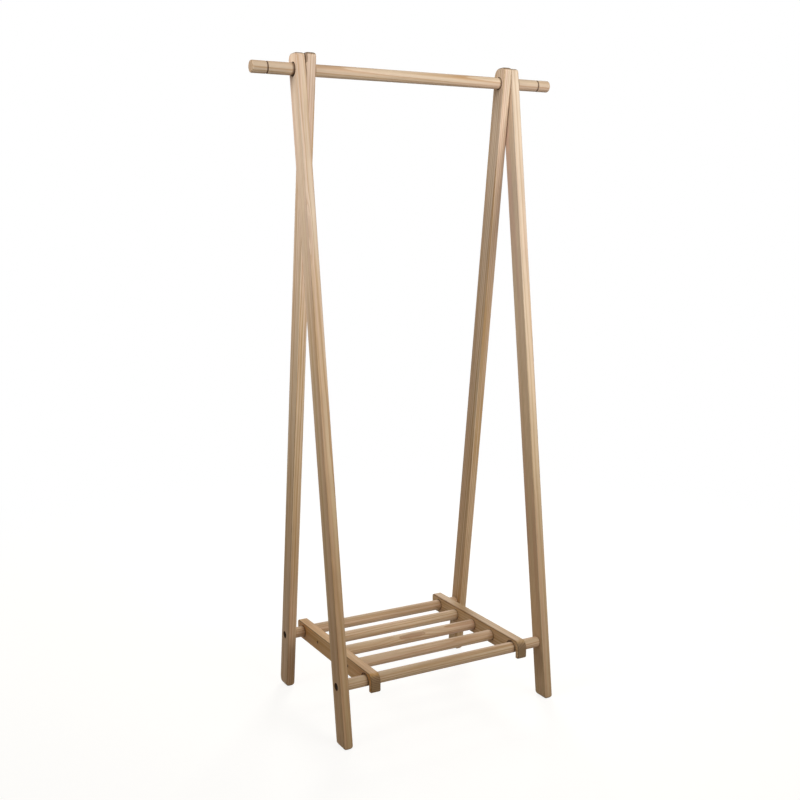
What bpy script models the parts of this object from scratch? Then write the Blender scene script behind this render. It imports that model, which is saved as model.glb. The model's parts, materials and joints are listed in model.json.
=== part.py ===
"""Folding wooden clothes rack with a lift-up dowel shelf.

Two pairs of legs lean together like a letter A and cross at the top rail. The rear pair is fixed to
the rail, and the front pair swings about it. A shelf of three dowels turns about the rear crossbar
and hooks over the front one, which holds the legs apart. Lifted, the shelf folds up between the
legs while the front pair swings in.

X runs along the rail, +Y to the rear and +Z up. The origin is on the floor, at the middle of the
rack's footprint. Lengths are metres.
"""

import math

import bmesh
import bpy
from mathutils import Vector

# Clearances
SEAT_GAP = 0.0003
PIVOT_GAP = 0.0005
LEG_GAP = 0.0005
OVERRUN = 0.004
WELD_DISTANCE = 0.000001

# Leg frames
RAIL_HEIGHT = 1.568
CROSSBAR_HEIGHT = 0.148
FRAME_WIDTH = 0.608
LEG_LEAN = math.radians(7.35)
LEG_WIDTH = 0.043
LEG_THICKNESS = 0.024
LEG_ARRIS = 0.003
LEG_END_RADIUS = 0.005
FRONT_LEG_ABOVE_RAIL = 0.036
REAR_LEG_ABOVE_RAIL = 0.037

# Corner radii of a leg seen from its side: toe and heel on the floor, back and brow at the top
FRONT_TOE_RADIUS = 0.007
FRONT_HEEL_RADIUS = 0.011
FRONT_BACK_RADIUS = 0.018
FRONT_BROW_RADIUS = 0.010
REAR_TOE_RADIUS = 0.006
REAR_HEEL_RADIUS = 0.020
REAR_BACK_RADIUS = 0.024
REAR_BROW_RADIUS = 0.010

# Top rail
RAIL_RADIUS = 0.014
RAIL_OVERHANG = 0.102
RAIL_END_RADIUS = 0.003
RAIL_PIVOT_GAP = 0.00125
RAIL_HOLE_CHAMFER = 0.0008
GROOVE_INSET = 0.037
GROOVE_WIDTH = 0.0035
GROOVE_DEPTH = 0.0015

# Crossbars, with a threaded insert in each end
CROSSBAR_RADIUS = 0.014
CROSSBAR_CHAMFER = 0.0006
INSERT_RADIUS = 0.005
INSERT_LENGTH = 0.014

# Crossbar bolts, sunk in the outer faces of the legs
BOLT_RADIUS = 0.003
BOLT_LENGTH = 0.036
BOLT_TIP = 0.001
BOLT_HEAD_RADIUS = 0.0078
BOLT_HEAD_HEIGHT = 0.0025
BOLT_HEAD_EDGE = 0.0008
BOLT_HEAD_RECESS = 0.005
BOLT_SOCKET_RADIUS = 0.0024
BOLT_SOCKET_DEPTH = 0.0015
COUNTERBORE_SPACE = 0.0011

# Screws that hold the rail in the rear legs, driven from behind
RAIL_SCREW_RADIUS = 0.002
RAIL_SCREW_LENGTH = 0.024
RAIL_SCREW_HEAD_RADIUS = 0.004
RAIL_SCREW_HEAD_HEIGHT = 0.0024

# Shelf
SHELF_SIDE_SPACE = 0.030
SHELF_SIDE_THICKNESS = 0.026
SHELF_SIDE_BELOW = 0.024
SHELF_SIDE_ABOVE = 0.022
SHELF_SIDE_ARRIS = 0.0025
SHELF_TAIL = 0.037
SHELF_TAIL_TOP_RADIUS = 0.007
SHELF_TAIL_FOOT_RADIUS = 0.003
SLAT_RADIUS = 0.014
SLAT_SOCKET_DEPTH = 0.006
SLAT_CHAMFER = 0.0006
SLAT_NAMES = ("rear", "middle", "front")
SLAT_PLACE_SHARES = (0.248, 0.489, 0.731)

# Hook of the shelf over the front crossbar: its slot is wider than the bar by the play, behind and below
HOOK_WALL = 0.0135
HOOK_PLAY = 0.006
HOOK_SEAT_ANGLE = math.radians(45)
HOOK_BROW_RADIUS = 0.0195
HOOK_NOSE_RADIUS = 0.006
HOOK_LIP_RADIUS = 0.003
HOOK_FLARE_RELIEF = math.radians(9)

# Screws that hold the slats, driven from outside
SLAT_SCREW_RADIUS = 0.00175
SLAT_SCREW_LENGTH = 0.032
SLAT_SCREW_HEAD_RADIUS = 0.0027
SLAT_SCREW_HEAD_HEIGHT = 0.0015
SLAT_SCREW_RECESS = 0.003
SCREW_TIP = 0.0012
SCREW_HEAD_EDGE = 0.0005
SCREW_HEAD_SPACE = 0.0004

# How far the rack folds: the shelf comes parallel to the rear legs, the crossbars come this close
FOLDED_BAR_SPACING = 0.045

# Steps round a full circle
DOWEL_SIDES = 32
METAL_SIDES = 16
SCREW_SIDES = 12
SOCKET_SIDES = 6
FILLET_STEP = math.radians(10)
SMOOTH_ANGLE = math.radians(35)
ARRIS_ANGLE = math.radians(60)
ARRIS_STEPS = 2
LEG_END_STEPS = 8
RAIL_END_STEPS = 4

# Sides of the rack, with the sign of X on each
SIDES = (("left", -1), ("right", 1))

# Finishes: colour, roughness, metallic
PALE_PINE = ((0.66, 0.49, 0.35, 1.0), 0.55, 0.0)
WARM_PINE = ((0.56, 0.37, 0.23, 1.0), 0.55, 0.0)
SHADED_PINE = ((0.58, 0.42, 0.28, 1.0), 0.55, 0.0)
STEEL = ((0.30, 0.29, 0.28, 1.0), 0.40, 1.0)
DARK_STEEL = ((0.09, 0.08, 0.08, 1.0), 0.45, 1.0)

# Places worked out from the sizes above
LEG_HALF_DEPTH = LEG_WIDTH / 2 / math.cos(LEG_LEAN)
BAR_DROP = RAIL_HEIGHT - CROSSBAR_HEIGHT
BAR_OFFSET = BAR_DROP * math.tan(LEG_LEAN)
BAR_SWING = BAR_DROP / math.cos(LEG_LEAN)
BAR_SPAN = 2 * BAR_OFFSET
FRONT_LEG_OUTER = FRAME_WIDTH / 2
FRONT_LEG_MIDDLE = FRONT_LEG_OUTER - LEG_THICKNESS / 2
FRONT_LEG_INNER = FRONT_LEG_OUTER - LEG_THICKNESS
REAR_LEG_OUTER = FRONT_LEG_INNER - LEG_GAP
REAR_LEG_MIDDLE = REAR_LEG_OUTER - LEG_THICKNESS / 2
REAR_LEG_INNER = REAR_LEG_OUTER - LEG_THICKNESS
SHELF_SIDE_OUTER = REAR_LEG_INNER - SHELF_SIDE_SPACE
SHELF_SIDE_INNER = SHELF_SIDE_OUTER - SHELF_SIDE_THICKNESS
RAIL_HALF_LENGTH = FRONT_LEG_OUTER + RAIL_OVERHANG
FOLD_TRAVEL = 2 * LEG_LEAN - 2 * math.asin(FOLDED_BAR_SPACING / (2 * BAR_SWING))
LIFT_TRAVEL = math.pi / 2 - LEG_LEAN
FOLD_RATIO = FOLD_TRAVEL / LIFT_TRAVEL


def foot_reach(corner_radius):
    """Distance from the rail's axis forward or back to the outermost point of a foot."""
    corner = RAIL_HEIGHT * math.tan(LEG_LEAN) + LEG_HALF_DEPTH
    return corner - corner_radius * (math.tan(LEG_LEAN) + 1 / math.cos(LEG_LEAN) - 1)


RAIL_Y = (foot_reach(FRONT_TOE_RADIUS) - foot_reach(REAR_HEEL_RADIUS)) / 2


def clear_scene():
    for item in list(bpy.data.objects):
        bpy.data.objects.remove(item, do_unlink=True)


def finish(name, colour, roughness, metallic):
    """A material of its own for one piece."""
    material = bpy.data.materials.new(name)
    material.use_nodes = True
    shader = material.node_tree.nodes["Principled BSDF"]
    shader.inputs["Base Color"].default_value = colour
    shader.inputs["Roughness"].default_value = roughness
    shader.inputs["Metallic"].default_value = metallic
    material.diffuse_color = colour
    return material


def add_group(name, location):
    """An empty on a joint's axis, which carries the pieces that move together."""
    group = bpy.data.objects.new(name, None)
    group.location = location
    bpy.context.scene.collection.objects.link(group)
    return group


def add_object(name, mesh, group, location=(0, 0, 0), turn=0, tilt=0):
    """Link a mesh under its group, turned about Z and then tilted about X."""
    item = bpy.data.objects.new(name, mesh)
    item.parent = group
    item.location = location
    item.rotation_mode = "ZYX"
    item.rotation_euler = (tilt, 0, turn)
    bpy.context.scene.collection.objects.link(item)
    return item


def add_piece(name, mesh, look, group, location=(0, 0, 0), turn=0, tilt=0):
    mesh.shade_smooth()
    mesh.set_sharp_from_angle(angle=SMOOTH_ANGLE)
    mesh.materials.append(finish(name, *look))
    return add_object(name, mesh, group, location, turn, tilt)


def add_cutter(name, mesh, group, location=(0, 0, 0), turn=0, tilt=0):
    """A solid that only shapes other pieces."""
    cutter = add_object(name, mesh, group, location, turn, tilt)
    cutter.hide_render = True
    cutter.display_type = "WIRE"
    return cutter


def cut(piece, cutter):
    modifier = piece.modifiers.new(cutter.name, "BOOLEAN")
    modifier.operation = "DIFFERENCE"
    modifier.solver = "EXACT"
    modifier.object = cutter


def round_arrises(piece, width):
    """Round the long edges that a sawn board's side faces meet in."""
    modifier = piece.modifiers.new("arrises", "BEVEL")
    modifier.width = width
    modifier.segments = ARRIS_STEPS
    modifier.limit_method = "ANGLE"
    modifier.angle_limit = ARRIS_ANGLE


def fillet(before, corner, after, radius):
    """Points of the arc that rounds one corner of an outline."""
    to_before = (before - corner).normalized()
    to_after = (after - corner).normalized()
    half_angle = to_before.angle(to_after) / 2
    centre = corner + (to_before + to_after).normalized() * radius / math.sin(half_angle)
    start = corner + to_before * radius / math.tan(half_angle) - centre
    end = corner + to_after * radius / math.tan(half_angle) - centre
    sweep = -start.angle_signed(end)
    steps = max(2, math.ceil(abs(sweep) / FILLET_STEP))
    points = []
    for step in range(steps + 1):
        angle = sweep * step / steps
        across = Vector((-start.y, start.x))
        points.append(centre + start * math.cos(angle) + across * math.sin(angle))
    return points


def rounded_outline(corners):
    """Outline through (y, z, radius) corners, each rounded to its radius."""
    places = [Vector((y, z)) for y, z, _ in corners]
    outline = []
    for index, (_, _, radius) in enumerate(corners):
        after = places[(index + 1) % len(places)]
        outline += fillet(places[index - 1], places[index], after, radius)
    return outline


def board(name, outline, inner, outer):
    """Board with this outline, seen along X, from the plane x = inner to x = outer."""
    mesh = bpy.data.meshes.new(name)
    bm = bmesh.new()
    corners = [bm.verts.new((inner, point.x, point.y)) for point in outline]
    face = bm.faces.new(corners)
    extruded = bmesh.ops.extrude_face_region(bm, geom=[face])["geom"]
    moved = [item for item in extruded if isinstance(item, bmesh.types.BMVert)]
    bmesh.ops.translate(bm, verts=moved, vec=(outer - inner, 0, 0))
    bmesh.ops.recalc_face_normals(bm, faces=bm.faces)
    bm.to_mesh(mesh)
    bm.free()
    return mesh


def turned(name, profile, sides, ring=False):
    """Round solid on the X axis from (x, radius) points; a ring's profile closes on itself."""
    mesh = bpy.data.meshes.new(name)
    bm = bmesh.new()
    chain = [bm.verts.new((x, 0, radius)) for x, radius in profile]
    edges = [bm.edges.new(pair) for pair in zip(chain, chain[1:])]
    if ring:
        edges.append(bm.edges.new((chain[-1], chain[0])))
    bmesh.ops.spin(
        bm, geom=chain + edges, axis=(1, 0, 0), cent=(0, 0, 0), angle=math.tau, steps=sides, use_merge=True
    )
    bmesh.ops.remove_doubles(bm, verts=bm.verts, dist=WELD_DISTANCE)
    bmesh.ops.recalc_face_normals(bm, faces=bm.faces)
    bm.to_mesh(mesh)
    bm.free()
    return mesh


def rod_profile(start, end, radius):
    """Plain cylinder between two places on X."""
    return [(start, 0), (start, radius), (end, radius), (end, 0)]


def dowel_profile(half_length, radius, chamfer):
    """Dowel centred on the origin, with chamfered ends."""
    return [
        (-half_length, 0),
        (-half_length, radius - chamfer),
        (-half_length + chamfer, radius),
        (half_length - chamfer, radius),
        (half_length, radius - chamfer),
        (half_length, 0),
    ]


def rail_profile():
    """Top rail: rounded ends, and a narrow groove turned near each end."""
    end = []
    for step in range(RAIL_END_STEPS + 1):
        angle = math.pi / 2 * step / RAIL_END_STEPS
        x = RAIL_HALF_LENGTH - RAIL_END_RADIUS * (1 - math.sin(angle))
        end.append((x, RAIL_RADIUS - RAIL_END_RADIUS * (1 - math.cos(angle))))
    groove_centre = RAIL_HALF_LENGTH - GROOVE_INSET
    groove = [
        (groove_centre - GROOVE_WIDTH / 2, RAIL_RADIUS),
        (groove_centre - GROOVE_WIDTH / 4, RAIL_RADIUS - GROOVE_DEPTH),
        (groove_centre + GROOVE_WIDTH / 4, RAIL_RADIUS - GROOVE_DEPTH),
        (groove_centre + GROOVE_WIDTH / 2, RAIL_RADIUS),
    ]
    right = groove + end + [(RAIL_HALF_LENGTH, 0)]
    left = [(-x, radius) for x, radius in reversed(right)]
    return left + right


def fastener_profile(head_radius, head_height, head_edge, radius, length, tip):
    """Bolt or screw: its head lies at -X of the origin, and its shank runs to +X."""
    return [
        (-head_height, 0),
        (-head_height, head_radius - head_edge),
        (-head_height + head_edge, head_radius),
        (0, head_radius),
        (0, radius),
        (length - tip, radius),
        (length, radius - tip),
        (length, 0),
    ]


def fastener_hole_profile(head_hole_radius, recess, radius, length):
    """Hole for a bolt or screw: a wide recess for its head, then a close hole for its shank."""
    return [
        (-recess - OVERRUN, 0),
        (-recess - OVERRUN, head_hole_radius),
        (SEAT_GAP, head_hole_radius),
        (SEAT_GAP, radius + SEAT_GAP),
        (length + SEAT_GAP, radius + SEAT_GAP),
        (length + SEAT_GAP, 0),
    ]


def bolt_seat(leg_outer):
    """Distance from the middle of the rack to the plane under a bolt's head."""
    return leg_outer - BOLT_HEAD_RECESS - SEAT_GAP


def leg_face(facing, corner, lean, radius, distance):
    """Y of a leg's front (-1) or rear (1) face, at a distance from an end that is rounded over."""
    if distance >= radius * (1 - facing * math.sin(lean)):
        return corner + distance * math.tan(lean)
    centre = corner + radius * math.tan(lean) - facing * radius / math.cos(lean)
    return centre + facing * math.sqrt(radius**2 - (radius - distance) ** 2)


def leg_half_thickness(distance):
    """Half the thickness of a leg, at a distance from an end that is rounded over."""
    rise = max(0, LEG_END_RADIUS - distance)
    return LEG_THICKNESS / 2 - LEG_END_RADIUS + math.sqrt(LEG_END_RADIUS**2 - rise**2)


def leg_end(end, inward, lean, front_radius, rear_radius):
    """Level sections of one end of a leg: height, half thickness, front and rear."""
    middle = end * math.tan(lean)
    slope = lean * inward
    rounded = max(front_radius, rear_radius) * (1 + math.sin(LEG_LEAN))
    sections = []
    for step in range(LEG_END_STEPS + 1):
        distance = rounded * (1 - math.cos(math.pi / 2 * step / LEG_END_STEPS))
        front = leg_face(-1, middle - LEG_HALF_DEPTH, slope, front_radius, distance)
        rear = leg_face(1, middle + LEG_HALF_DEPTH, slope, rear_radius, distance)
        sections.append((end + inward * distance, leg_half_thickness(distance), front, rear))
    return sections


def leg_sections(lean, above_rail, radii):
    """Sections of a leg about the rail's axis, from its level sole to its level top."""
    toe, heel, back, brow = radii
    top = leg_end(above_rail, -1, lean, brow, back)
    return leg_end(-RAIL_HEIGHT, 1, lean, toe, heel) + top[::-1]


def section_ring(bm, middle, height, half_thickness, front, rear):
    """Corners of one level section: a rectangle rounded by the arris."""
    ring = []
    for quarter, (x_side, y) in enumerate(((1, rear), (-1, rear), (-1, front), (1, front))):
        y_side = 1 if y == rear else -1
        centre_x = middle + x_side * (half_thickness - LEG_ARRIS)
        centre_y = y - y_side * LEG_ARRIS
        for step in range(ARRIS_STEPS + 1):
            angle = math.pi / 2 * (quarter + step / ARRIS_STEPS)
            x = centre_x + LEG_ARRIS * math.cos(angle)
            ring.append(bm.verts.new((x, centre_y + LEG_ARRIS * math.sin(angle), height)))
    return ring


def leg_mesh(name, sections, middle):
    """Leg lofted through its level sections, with its thickness about the plane x = middle."""
    mesh = bpy.data.meshes.new(name)
    bm = bmesh.new()
    rings = [section_ring(bm, middle, *section) for section in sections]
    for lower, upper in zip(rings, rings[1:]):
        for index in range(len(lower)):
            bm.faces.new((lower[index - 1], lower[index], upper[index], upper[index - 1]))
    bm.faces.new(rings[0])
    bm.faces.new(rings[-1])
    bmesh.ops.recalc_face_normals(bm, faces=bm.faces)
    bm.to_mesh(mesh)
    bm.free()
    return mesh


def add_crossbar(pair, group, bar_place, half_length):
    """A crossbar and the threaded inserts in its ends."""
    profile = dowel_profile(half_length, CROSSBAR_RADIUS, CROSSBAR_CHAMFER)
    bar_mesh = turned(pair + "_crossbar", profile, DOWEL_SIDES)
    bar = add_piece(pair + "_crossbar", bar_mesh, WARM_PINE, group, bar_place)
    shank_hole = BOLT_RADIUS + SEAT_GAP
    insert_profile = [
        (0, shank_hole),
        (0, INSERT_RADIUS),
        (INSERT_LENGTH, INSERT_RADIUS),
        (INSERT_LENGTH, shank_hole),
    ]
    pocket_profile = rod_profile(-OVERRUN, INSERT_LENGTH + SEAT_GAP, INSERT_RADIUS + SEAT_GAP)
    for side, sign in SIDES:
        end = Vector((sign * half_length, 0, 0)) + bar_place
        turn = math.pi * (sign > 0)
        name = pair + "_insert_" + side
        add_piece(name, turned(name, insert_profile, METAL_SIDES, ring=True), STEEL, group, end, turn)
        pocket = name + "_pocket"
        cut(bar, add_cutter(pocket, turned(pocket, pocket_profile, METAL_SIDES), group, end, turn))
    return bar


def add_bolts(pair, group, bar_place, leg_outer, legs, bar):
    """The two bolts that draw a pair of legs against their crossbar."""
    profile = fastener_profile(
        BOLT_HEAD_RADIUS, BOLT_HEAD_HEIGHT, BOLT_HEAD_EDGE, BOLT_RADIUS, BOLT_LENGTH, BOLT_TIP
    )
    hole_profile = fastener_hole_profile(
        BOLT_HEAD_RADIUS + COUNTERBORE_SPACE, BOLT_HEAD_RECESS, BOLT_RADIUS, BOLT_LENGTH
    )
    socket_profile = rod_profile(
        -BOLT_HEAD_HEIGHT - OVERRUN, BOLT_SOCKET_DEPTH - BOLT_HEAD_HEIGHT, BOLT_SOCKET_RADIUS
    )
    for side, sign in SIDES:
        seat = Vector((sign * bolt_seat(leg_outer), 0, 0)) + bar_place
        turn = math.pi * (sign > 0)
        name = pair + "_bolt_" + side
        bolt = add_piece(name, turned(name, profile, METAL_SIDES), DARK_STEEL, group, seat, turn)
        socket = name + "_socket"
        cut(bolt, add_cutter(socket, turned(socket, socket_profile, SOCKET_SIDES), group, seat, turn))
        hole = name + "_hole"
        hole_cutter = add_cutter(hole, turned(hole, hole_profile, METAL_SIDES), group, seat, turn)
        cut(legs[side], hole_cutter)
        cut(bar, hole_cutter)


def add_rail_screws(group, legs, rail):
    """A screw through the back of each rear leg holds the rail."""
    profile = fastener_profile(
        RAIL_SCREW_HEAD_RADIUS,
        RAIL_SCREW_HEAD_HEIGHT,
        SCREW_HEAD_EDGE,
        RAIL_SCREW_RADIUS,
        RAIL_SCREW_LENGTH,
        SCREW_TIP,
    )
    recess = RAIL_SCREW_HEAD_HEIGHT + SEAT_GAP
    hole_profile = fastener_hole_profile(
        RAIL_SCREW_HEAD_RADIUS + SCREW_HEAD_SPACE, recess, RAIL_SCREW_RADIUS, RAIL_SCREW_LENGTH
    )
    from_axis = LEG_WIDTH / 2 - recess
    for side, sign in SIDES:
        seat = (sign * REAR_LEG_MIDDLE, from_axis * math.cos(LEG_LEAN), from_axis * math.sin(LEG_LEAN))
        name = "rail_screw_" + side
        turn = -math.pi / 2
        add_piece(name, turned(name, profile, SCREW_SIDES), STEEL, group, seat, turn, LEG_LEAN)
        hole = name + "_hole"
        hole_cutter = add_cutter(hole, turned(hole, hole_profile, SCREW_SIDES), group, seat, turn, LEG_LEAN)
        cut(legs[side], hole_cutter)
        cut(rail, hole_cutter)


def rail_hole_profile(half_depth, radius):
    """Hole for the rail through a leg, about the leg's middle, with a chamfer at both mouths."""
    mouth = radius + RAIL_HOLE_CHAMFER + OVERRUN
    return [
        (-half_depth - OVERRUN, 0),
        (-half_depth - OVERRUN, mouth),
        (-half_depth + RAIL_HOLE_CHAMFER, radius),
        (half_depth - RAIL_HOLE_CHAMFER, radius),
        (half_depth + OVERRUN, mouth),
        (half_depth + OVERRUN, 0),
    ]


def add_frame_legs(pair, look, group, sections, middle, rail_hole_radius):
    """Left and right leg of a frame, bored for the rail."""
    hole_profile = rail_hole_profile(LEG_THICKNESS / 2, rail_hole_radius)
    legs = {}
    for side, sign in SIDES:
        name = pair + "_leg_" + side
        legs[side] = add_piece(name, leg_mesh(name, sections, sign * middle), look, group)
        hole = name + "_rail_hole"
        hole_mesh = turned(hole, hole_profile, DOWEL_SIDES)
        cut(legs[side], add_cutter(hole, hole_mesh, group, (sign * middle, 0, 0)))
    return legs


def build_rear_frame(group):
    """Rear legs, which carry the rail and the shelf's pivot bar."""
    radii = (REAR_TOE_RADIUS, REAR_HEEL_RADIUS, REAR_BACK_RADIUS, REAR_BROW_RADIUS)
    sections = leg_sections(-LEG_LEAN, REAR_LEG_ABOVE_RAIL, radii)
    bar_place = Vector((0, BAR_OFFSET, -BAR_DROP))
    rail = add_piece("top_rail", turned("top_rail", rail_profile(), DOWEL_SIDES), PALE_PINE, group)
    legs = add_frame_legs("rear", SHADED_PINE, group, sections, REAR_LEG_MIDDLE, RAIL_RADIUS + SEAT_GAP)
    bar = add_crossbar("rear", group, bar_place, REAR_LEG_INNER - SEAT_GAP)
    add_bolts("rear", group, bar_place, REAR_LEG_OUTER, legs, bar)
    add_rail_screws(group, legs, rail)


def build_front_frame(group):
    """Front legs, which swing about the rail and carry the bar that the shelf hooks over."""
    radii = (FRONT_TOE_RADIUS, FRONT_HEEL_RADIUS, FRONT_BACK_RADIUS, FRONT_BROW_RADIUS)
    sections = leg_sections(LEG_LEAN, FRONT_LEG_ABOVE_RAIL, radii)
    bar_place = Vector((0, -BAR_OFFSET, -BAR_DROP))
    legs = add_frame_legs(
        "front", PALE_PINE, group, sections, FRONT_LEG_MIDDLE, RAIL_RADIUS + RAIL_PIVOT_GAP
    )
    bar = add_crossbar("front", group, bar_place, FRONT_LEG_INNER - SEAT_GAP)
    add_bolts("front", group, bar_place, FRONT_LEG_OUTER, legs, bar)


def hook_flare():
    """Slope of the slot's rear wall: that of the front bar's way out, less what the play allows."""
    backward = BAR_DROP * FOLD_RATIO
    downward = BAR_SPAN + BAR_OFFSET * FOLD_RATIO
    return math.atan(backward / downward) - HOOK_FLARE_RELIEF


def shelf_side_outline():
    """Side view of a shelf side about its pivot, with the hook's slot open below.

    The slot is an arc that seats on the front of the bar, with an upright front wall and a flared
    rear wall, so that the bar leaves it backward and down as the shelf is lifted.
    """
    bottom = -SHELF_SIDE_BELOW
    top = SHELF_SIDE_ABOVE
    slot_radius = CROSSBAR_RADIUS + HOOK_PLAY
    slot_y = (HOOK_PLAY - SEAT_GAP) * math.cos(HOOK_SEAT_ANGLE) - BAR_SPAN
    slot_z = (SEAT_GAP - HOOK_PLAY) * math.sin(HOOK_SEAT_ANGLE)
    flare = hook_flare()
    front_wall = slot_y - slot_radius
    apex = slot_z + slot_radius * (1 + math.cos(flare)) / math.sin(flare)
    rear_wall = front_wall + (apex - bottom) * math.tan(flare)
    nose = front_wall - HOOK_WALL
    return rounded_outline(
        [
            (nose, bottom, HOOK_NOSE_RADIUS),
            (front_wall, bottom, HOOK_LIP_RADIUS),
            (front_wall, apex, slot_radius),
            (rear_wall, bottom, HOOK_LIP_RADIUS),
            (SHELF_TAIL, bottom, SHELF_TAIL_FOOT_RADIUS),
            (SHELF_TAIL, top, SHELF_TAIL_TOP_RADIUS),
            (nose, top, HOOK_BROW_RADIUS),
        ]
    )


def build_shelf(group):
    """Two side boards with three slats between them, which turn about the rear crossbar."""
    outline = shelf_side_outline()
    sides = {}
    pivot_profile = rod_profile(-FRAME_WIDTH / 2, FRAME_WIDTH / 2, CROSSBAR_RADIUS + PIVOT_GAP)
    pivot_mesh = turned("shelf_pivot_hole", pivot_profile, DOWEL_SIDES)
    pivot_cutter = add_cutter("shelf_pivot_hole", pivot_mesh, group)
    for side, sign in SIDES:
        name = "shelf_side_" + side
        mesh = board(name, outline, sign * SHELF_SIDE_INNER, sign * SHELF_SIDE_OUTER)
        sides[side] = add_piece(name, mesh, SHADED_PINE, group)
        round_arrises(sides[side], SHELF_SIDE_ARRIS)
        cut(sides[side], pivot_cutter)
    for slat_name, share in zip(SLAT_NAMES, SLAT_PLACE_SHARES):
        add_slat(slat_name, Vector((0, -BAR_SPAN * share, 0)), group, sides)


def add_slat(slat_name, place, group, sides):
    """A dowel slat, seated in blind sockets in the shelf sides and held by a screw at each end."""
    socket_floor = SHELF_SIDE_INNER + SLAT_SOCKET_DEPTH
    slat_profile = dowel_profile(socket_floor - SEAT_GAP, SLAT_RADIUS, SLAT_CHAMFER)
    slat_mesh = turned("slat_" + slat_name, slat_profile, DOWEL_SIDES)
    slat = add_piece("slat_" + slat_name, slat_mesh, WARM_PINE, group, place)
    socket_profile = rod_profile(-socket_floor, socket_floor, SLAT_RADIUS + SEAT_GAP)
    socket = "slat_" + slat_name + "_sockets"
    socket_cutter = add_cutter(socket, turned(socket, socket_profile, DOWEL_SIDES), group, place)
    screw_profile = fastener_profile(
        SLAT_SCREW_HEAD_RADIUS,
        SLAT_SCREW_HEAD_HEIGHT,
        SCREW_HEAD_EDGE,
        SLAT_SCREW_RADIUS,
        SLAT_SCREW_LENGTH,
        SCREW_TIP,
    )
    hole_profile = fastener_hole_profile(
        SLAT_SCREW_HEAD_RADIUS + SCREW_HEAD_SPACE, SLAT_SCREW_RECESS, SLAT_SCREW_RADIUS, SLAT_SCREW_LENGTH
    )
    for side, sign in SIDES:
        seat = Vector((sign * (SHELF_SIDE_OUTER - SLAT_SCREW_RECESS - SEAT_GAP), 0, 0)) + place
        turn = math.pi * (sign > 0)
        name = "slat_screw_" + slat_name + "_" + side
        add_piece(name, turned(name, screw_profile, SCREW_SIDES), DARK_STEEL, group, seat, turn)
        hole = name + "_hole"
        hole_cutter = add_cutter(hole, turned(hole, hole_profile, SCREW_SIDES), group, seat, turn)
        cut(sides[side], socket_cutter)
        cut(sides[side], hole_cutter)
        cut(slat, hole_cutter)


def main():
    clear_scene()
    build_rear_frame(add_group("rear_frame", (0, RAIL_Y, RAIL_HEIGHT)))
    build_front_frame(add_group("front_frame", (0, RAIL_Y, RAIL_HEIGHT)))
    build_shelf(add_group("shelf", (0, RAIL_Y + BAR_OFFSET, CROSSBAR_HEIGHT)))


main()
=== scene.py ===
"""Folding pine clothes rack: planed legs, turned dowels, shelf boards, bolts and screws.

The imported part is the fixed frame. Every piece here stands for one of its nodes, keeps that
node's place and rides on its body. Lengths are metres, X runs along the rail, +Y to the rear and
+Z up.
"""

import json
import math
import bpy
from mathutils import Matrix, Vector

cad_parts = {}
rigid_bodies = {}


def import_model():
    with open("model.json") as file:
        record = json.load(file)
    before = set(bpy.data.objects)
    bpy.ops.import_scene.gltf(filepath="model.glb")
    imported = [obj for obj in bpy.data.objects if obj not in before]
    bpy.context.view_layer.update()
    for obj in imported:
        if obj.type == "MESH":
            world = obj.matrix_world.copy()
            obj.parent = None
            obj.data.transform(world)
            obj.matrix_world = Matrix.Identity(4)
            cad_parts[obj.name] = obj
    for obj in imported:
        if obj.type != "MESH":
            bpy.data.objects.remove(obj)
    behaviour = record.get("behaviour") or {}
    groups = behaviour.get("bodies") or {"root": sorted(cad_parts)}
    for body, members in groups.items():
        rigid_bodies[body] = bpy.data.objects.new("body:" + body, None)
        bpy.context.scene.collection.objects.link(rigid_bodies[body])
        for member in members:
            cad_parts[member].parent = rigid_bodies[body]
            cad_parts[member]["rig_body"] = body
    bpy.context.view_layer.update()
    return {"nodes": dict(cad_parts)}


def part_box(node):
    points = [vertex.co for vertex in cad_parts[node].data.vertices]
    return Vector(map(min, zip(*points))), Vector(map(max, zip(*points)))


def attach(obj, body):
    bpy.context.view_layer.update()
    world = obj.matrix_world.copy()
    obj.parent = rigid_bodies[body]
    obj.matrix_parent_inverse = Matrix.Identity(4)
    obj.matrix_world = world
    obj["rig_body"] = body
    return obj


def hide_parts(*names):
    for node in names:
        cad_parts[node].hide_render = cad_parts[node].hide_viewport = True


bl_info = {
    "name": "Folding Clothes Rack",
    "version": (1, 0, 0),
    "blender": (4, 5, 0),
    "location": "3D View > Sidebar > Clothes Rack",
    "description": "Builds the finished wood and steel of a folding clothes rack over its frame",
    "category": "Add Mesh",
}

from collections import namedtuple

import bmesh
import bpy
from bpy.props import FloatProperty, FloatVectorProperty, IntProperty, PointerProperty
from mathutils import Matrix, Vector

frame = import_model()

SIDES = (("left", -1), ("right", 1))
PAIRS = ("front", "rear")
SLATS = ("rear", "middle", "front")

# How far a cutter stands past the wood, how near two points are one, how far a piece may miss its
# node's box, and the widest angle that is shaded smooth
OVERRUN = 0.004
WELD = 0.000001
MOST_MISS = 0.0015
SMOOTH_ANGLE = math.radians(32)

# Steps along the small arcs, and along a dowel and half the rail
RAIL_END_STEPS = 8
LIP_STEPS = 6
NOSE_STEPS = 8
BROW_STEPS = 16
SLOT_STEPS = 28
DOWEL_STATIONS = 4
RAIL_STATIONS = 5

# Screws, with the radii of the sinking for the head and of the hole for the shank
Screw = namedtuple("Screw", "head head_radius radius length sinking hole")
RAIL_SCREW = Screw(0.0024, 0.004, 0.002, 0.024, 0.0044, 0.0023)
SLAT_SCREW = Screw(0.0015, 0.0027, 0.00175, 0.032, 0.0031, 0.00205)
RAIL_SCREW_HOLE_DEPTH = 0.026
SCREW_SIDES = 32
SCREW_CROWN = 0.4

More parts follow.
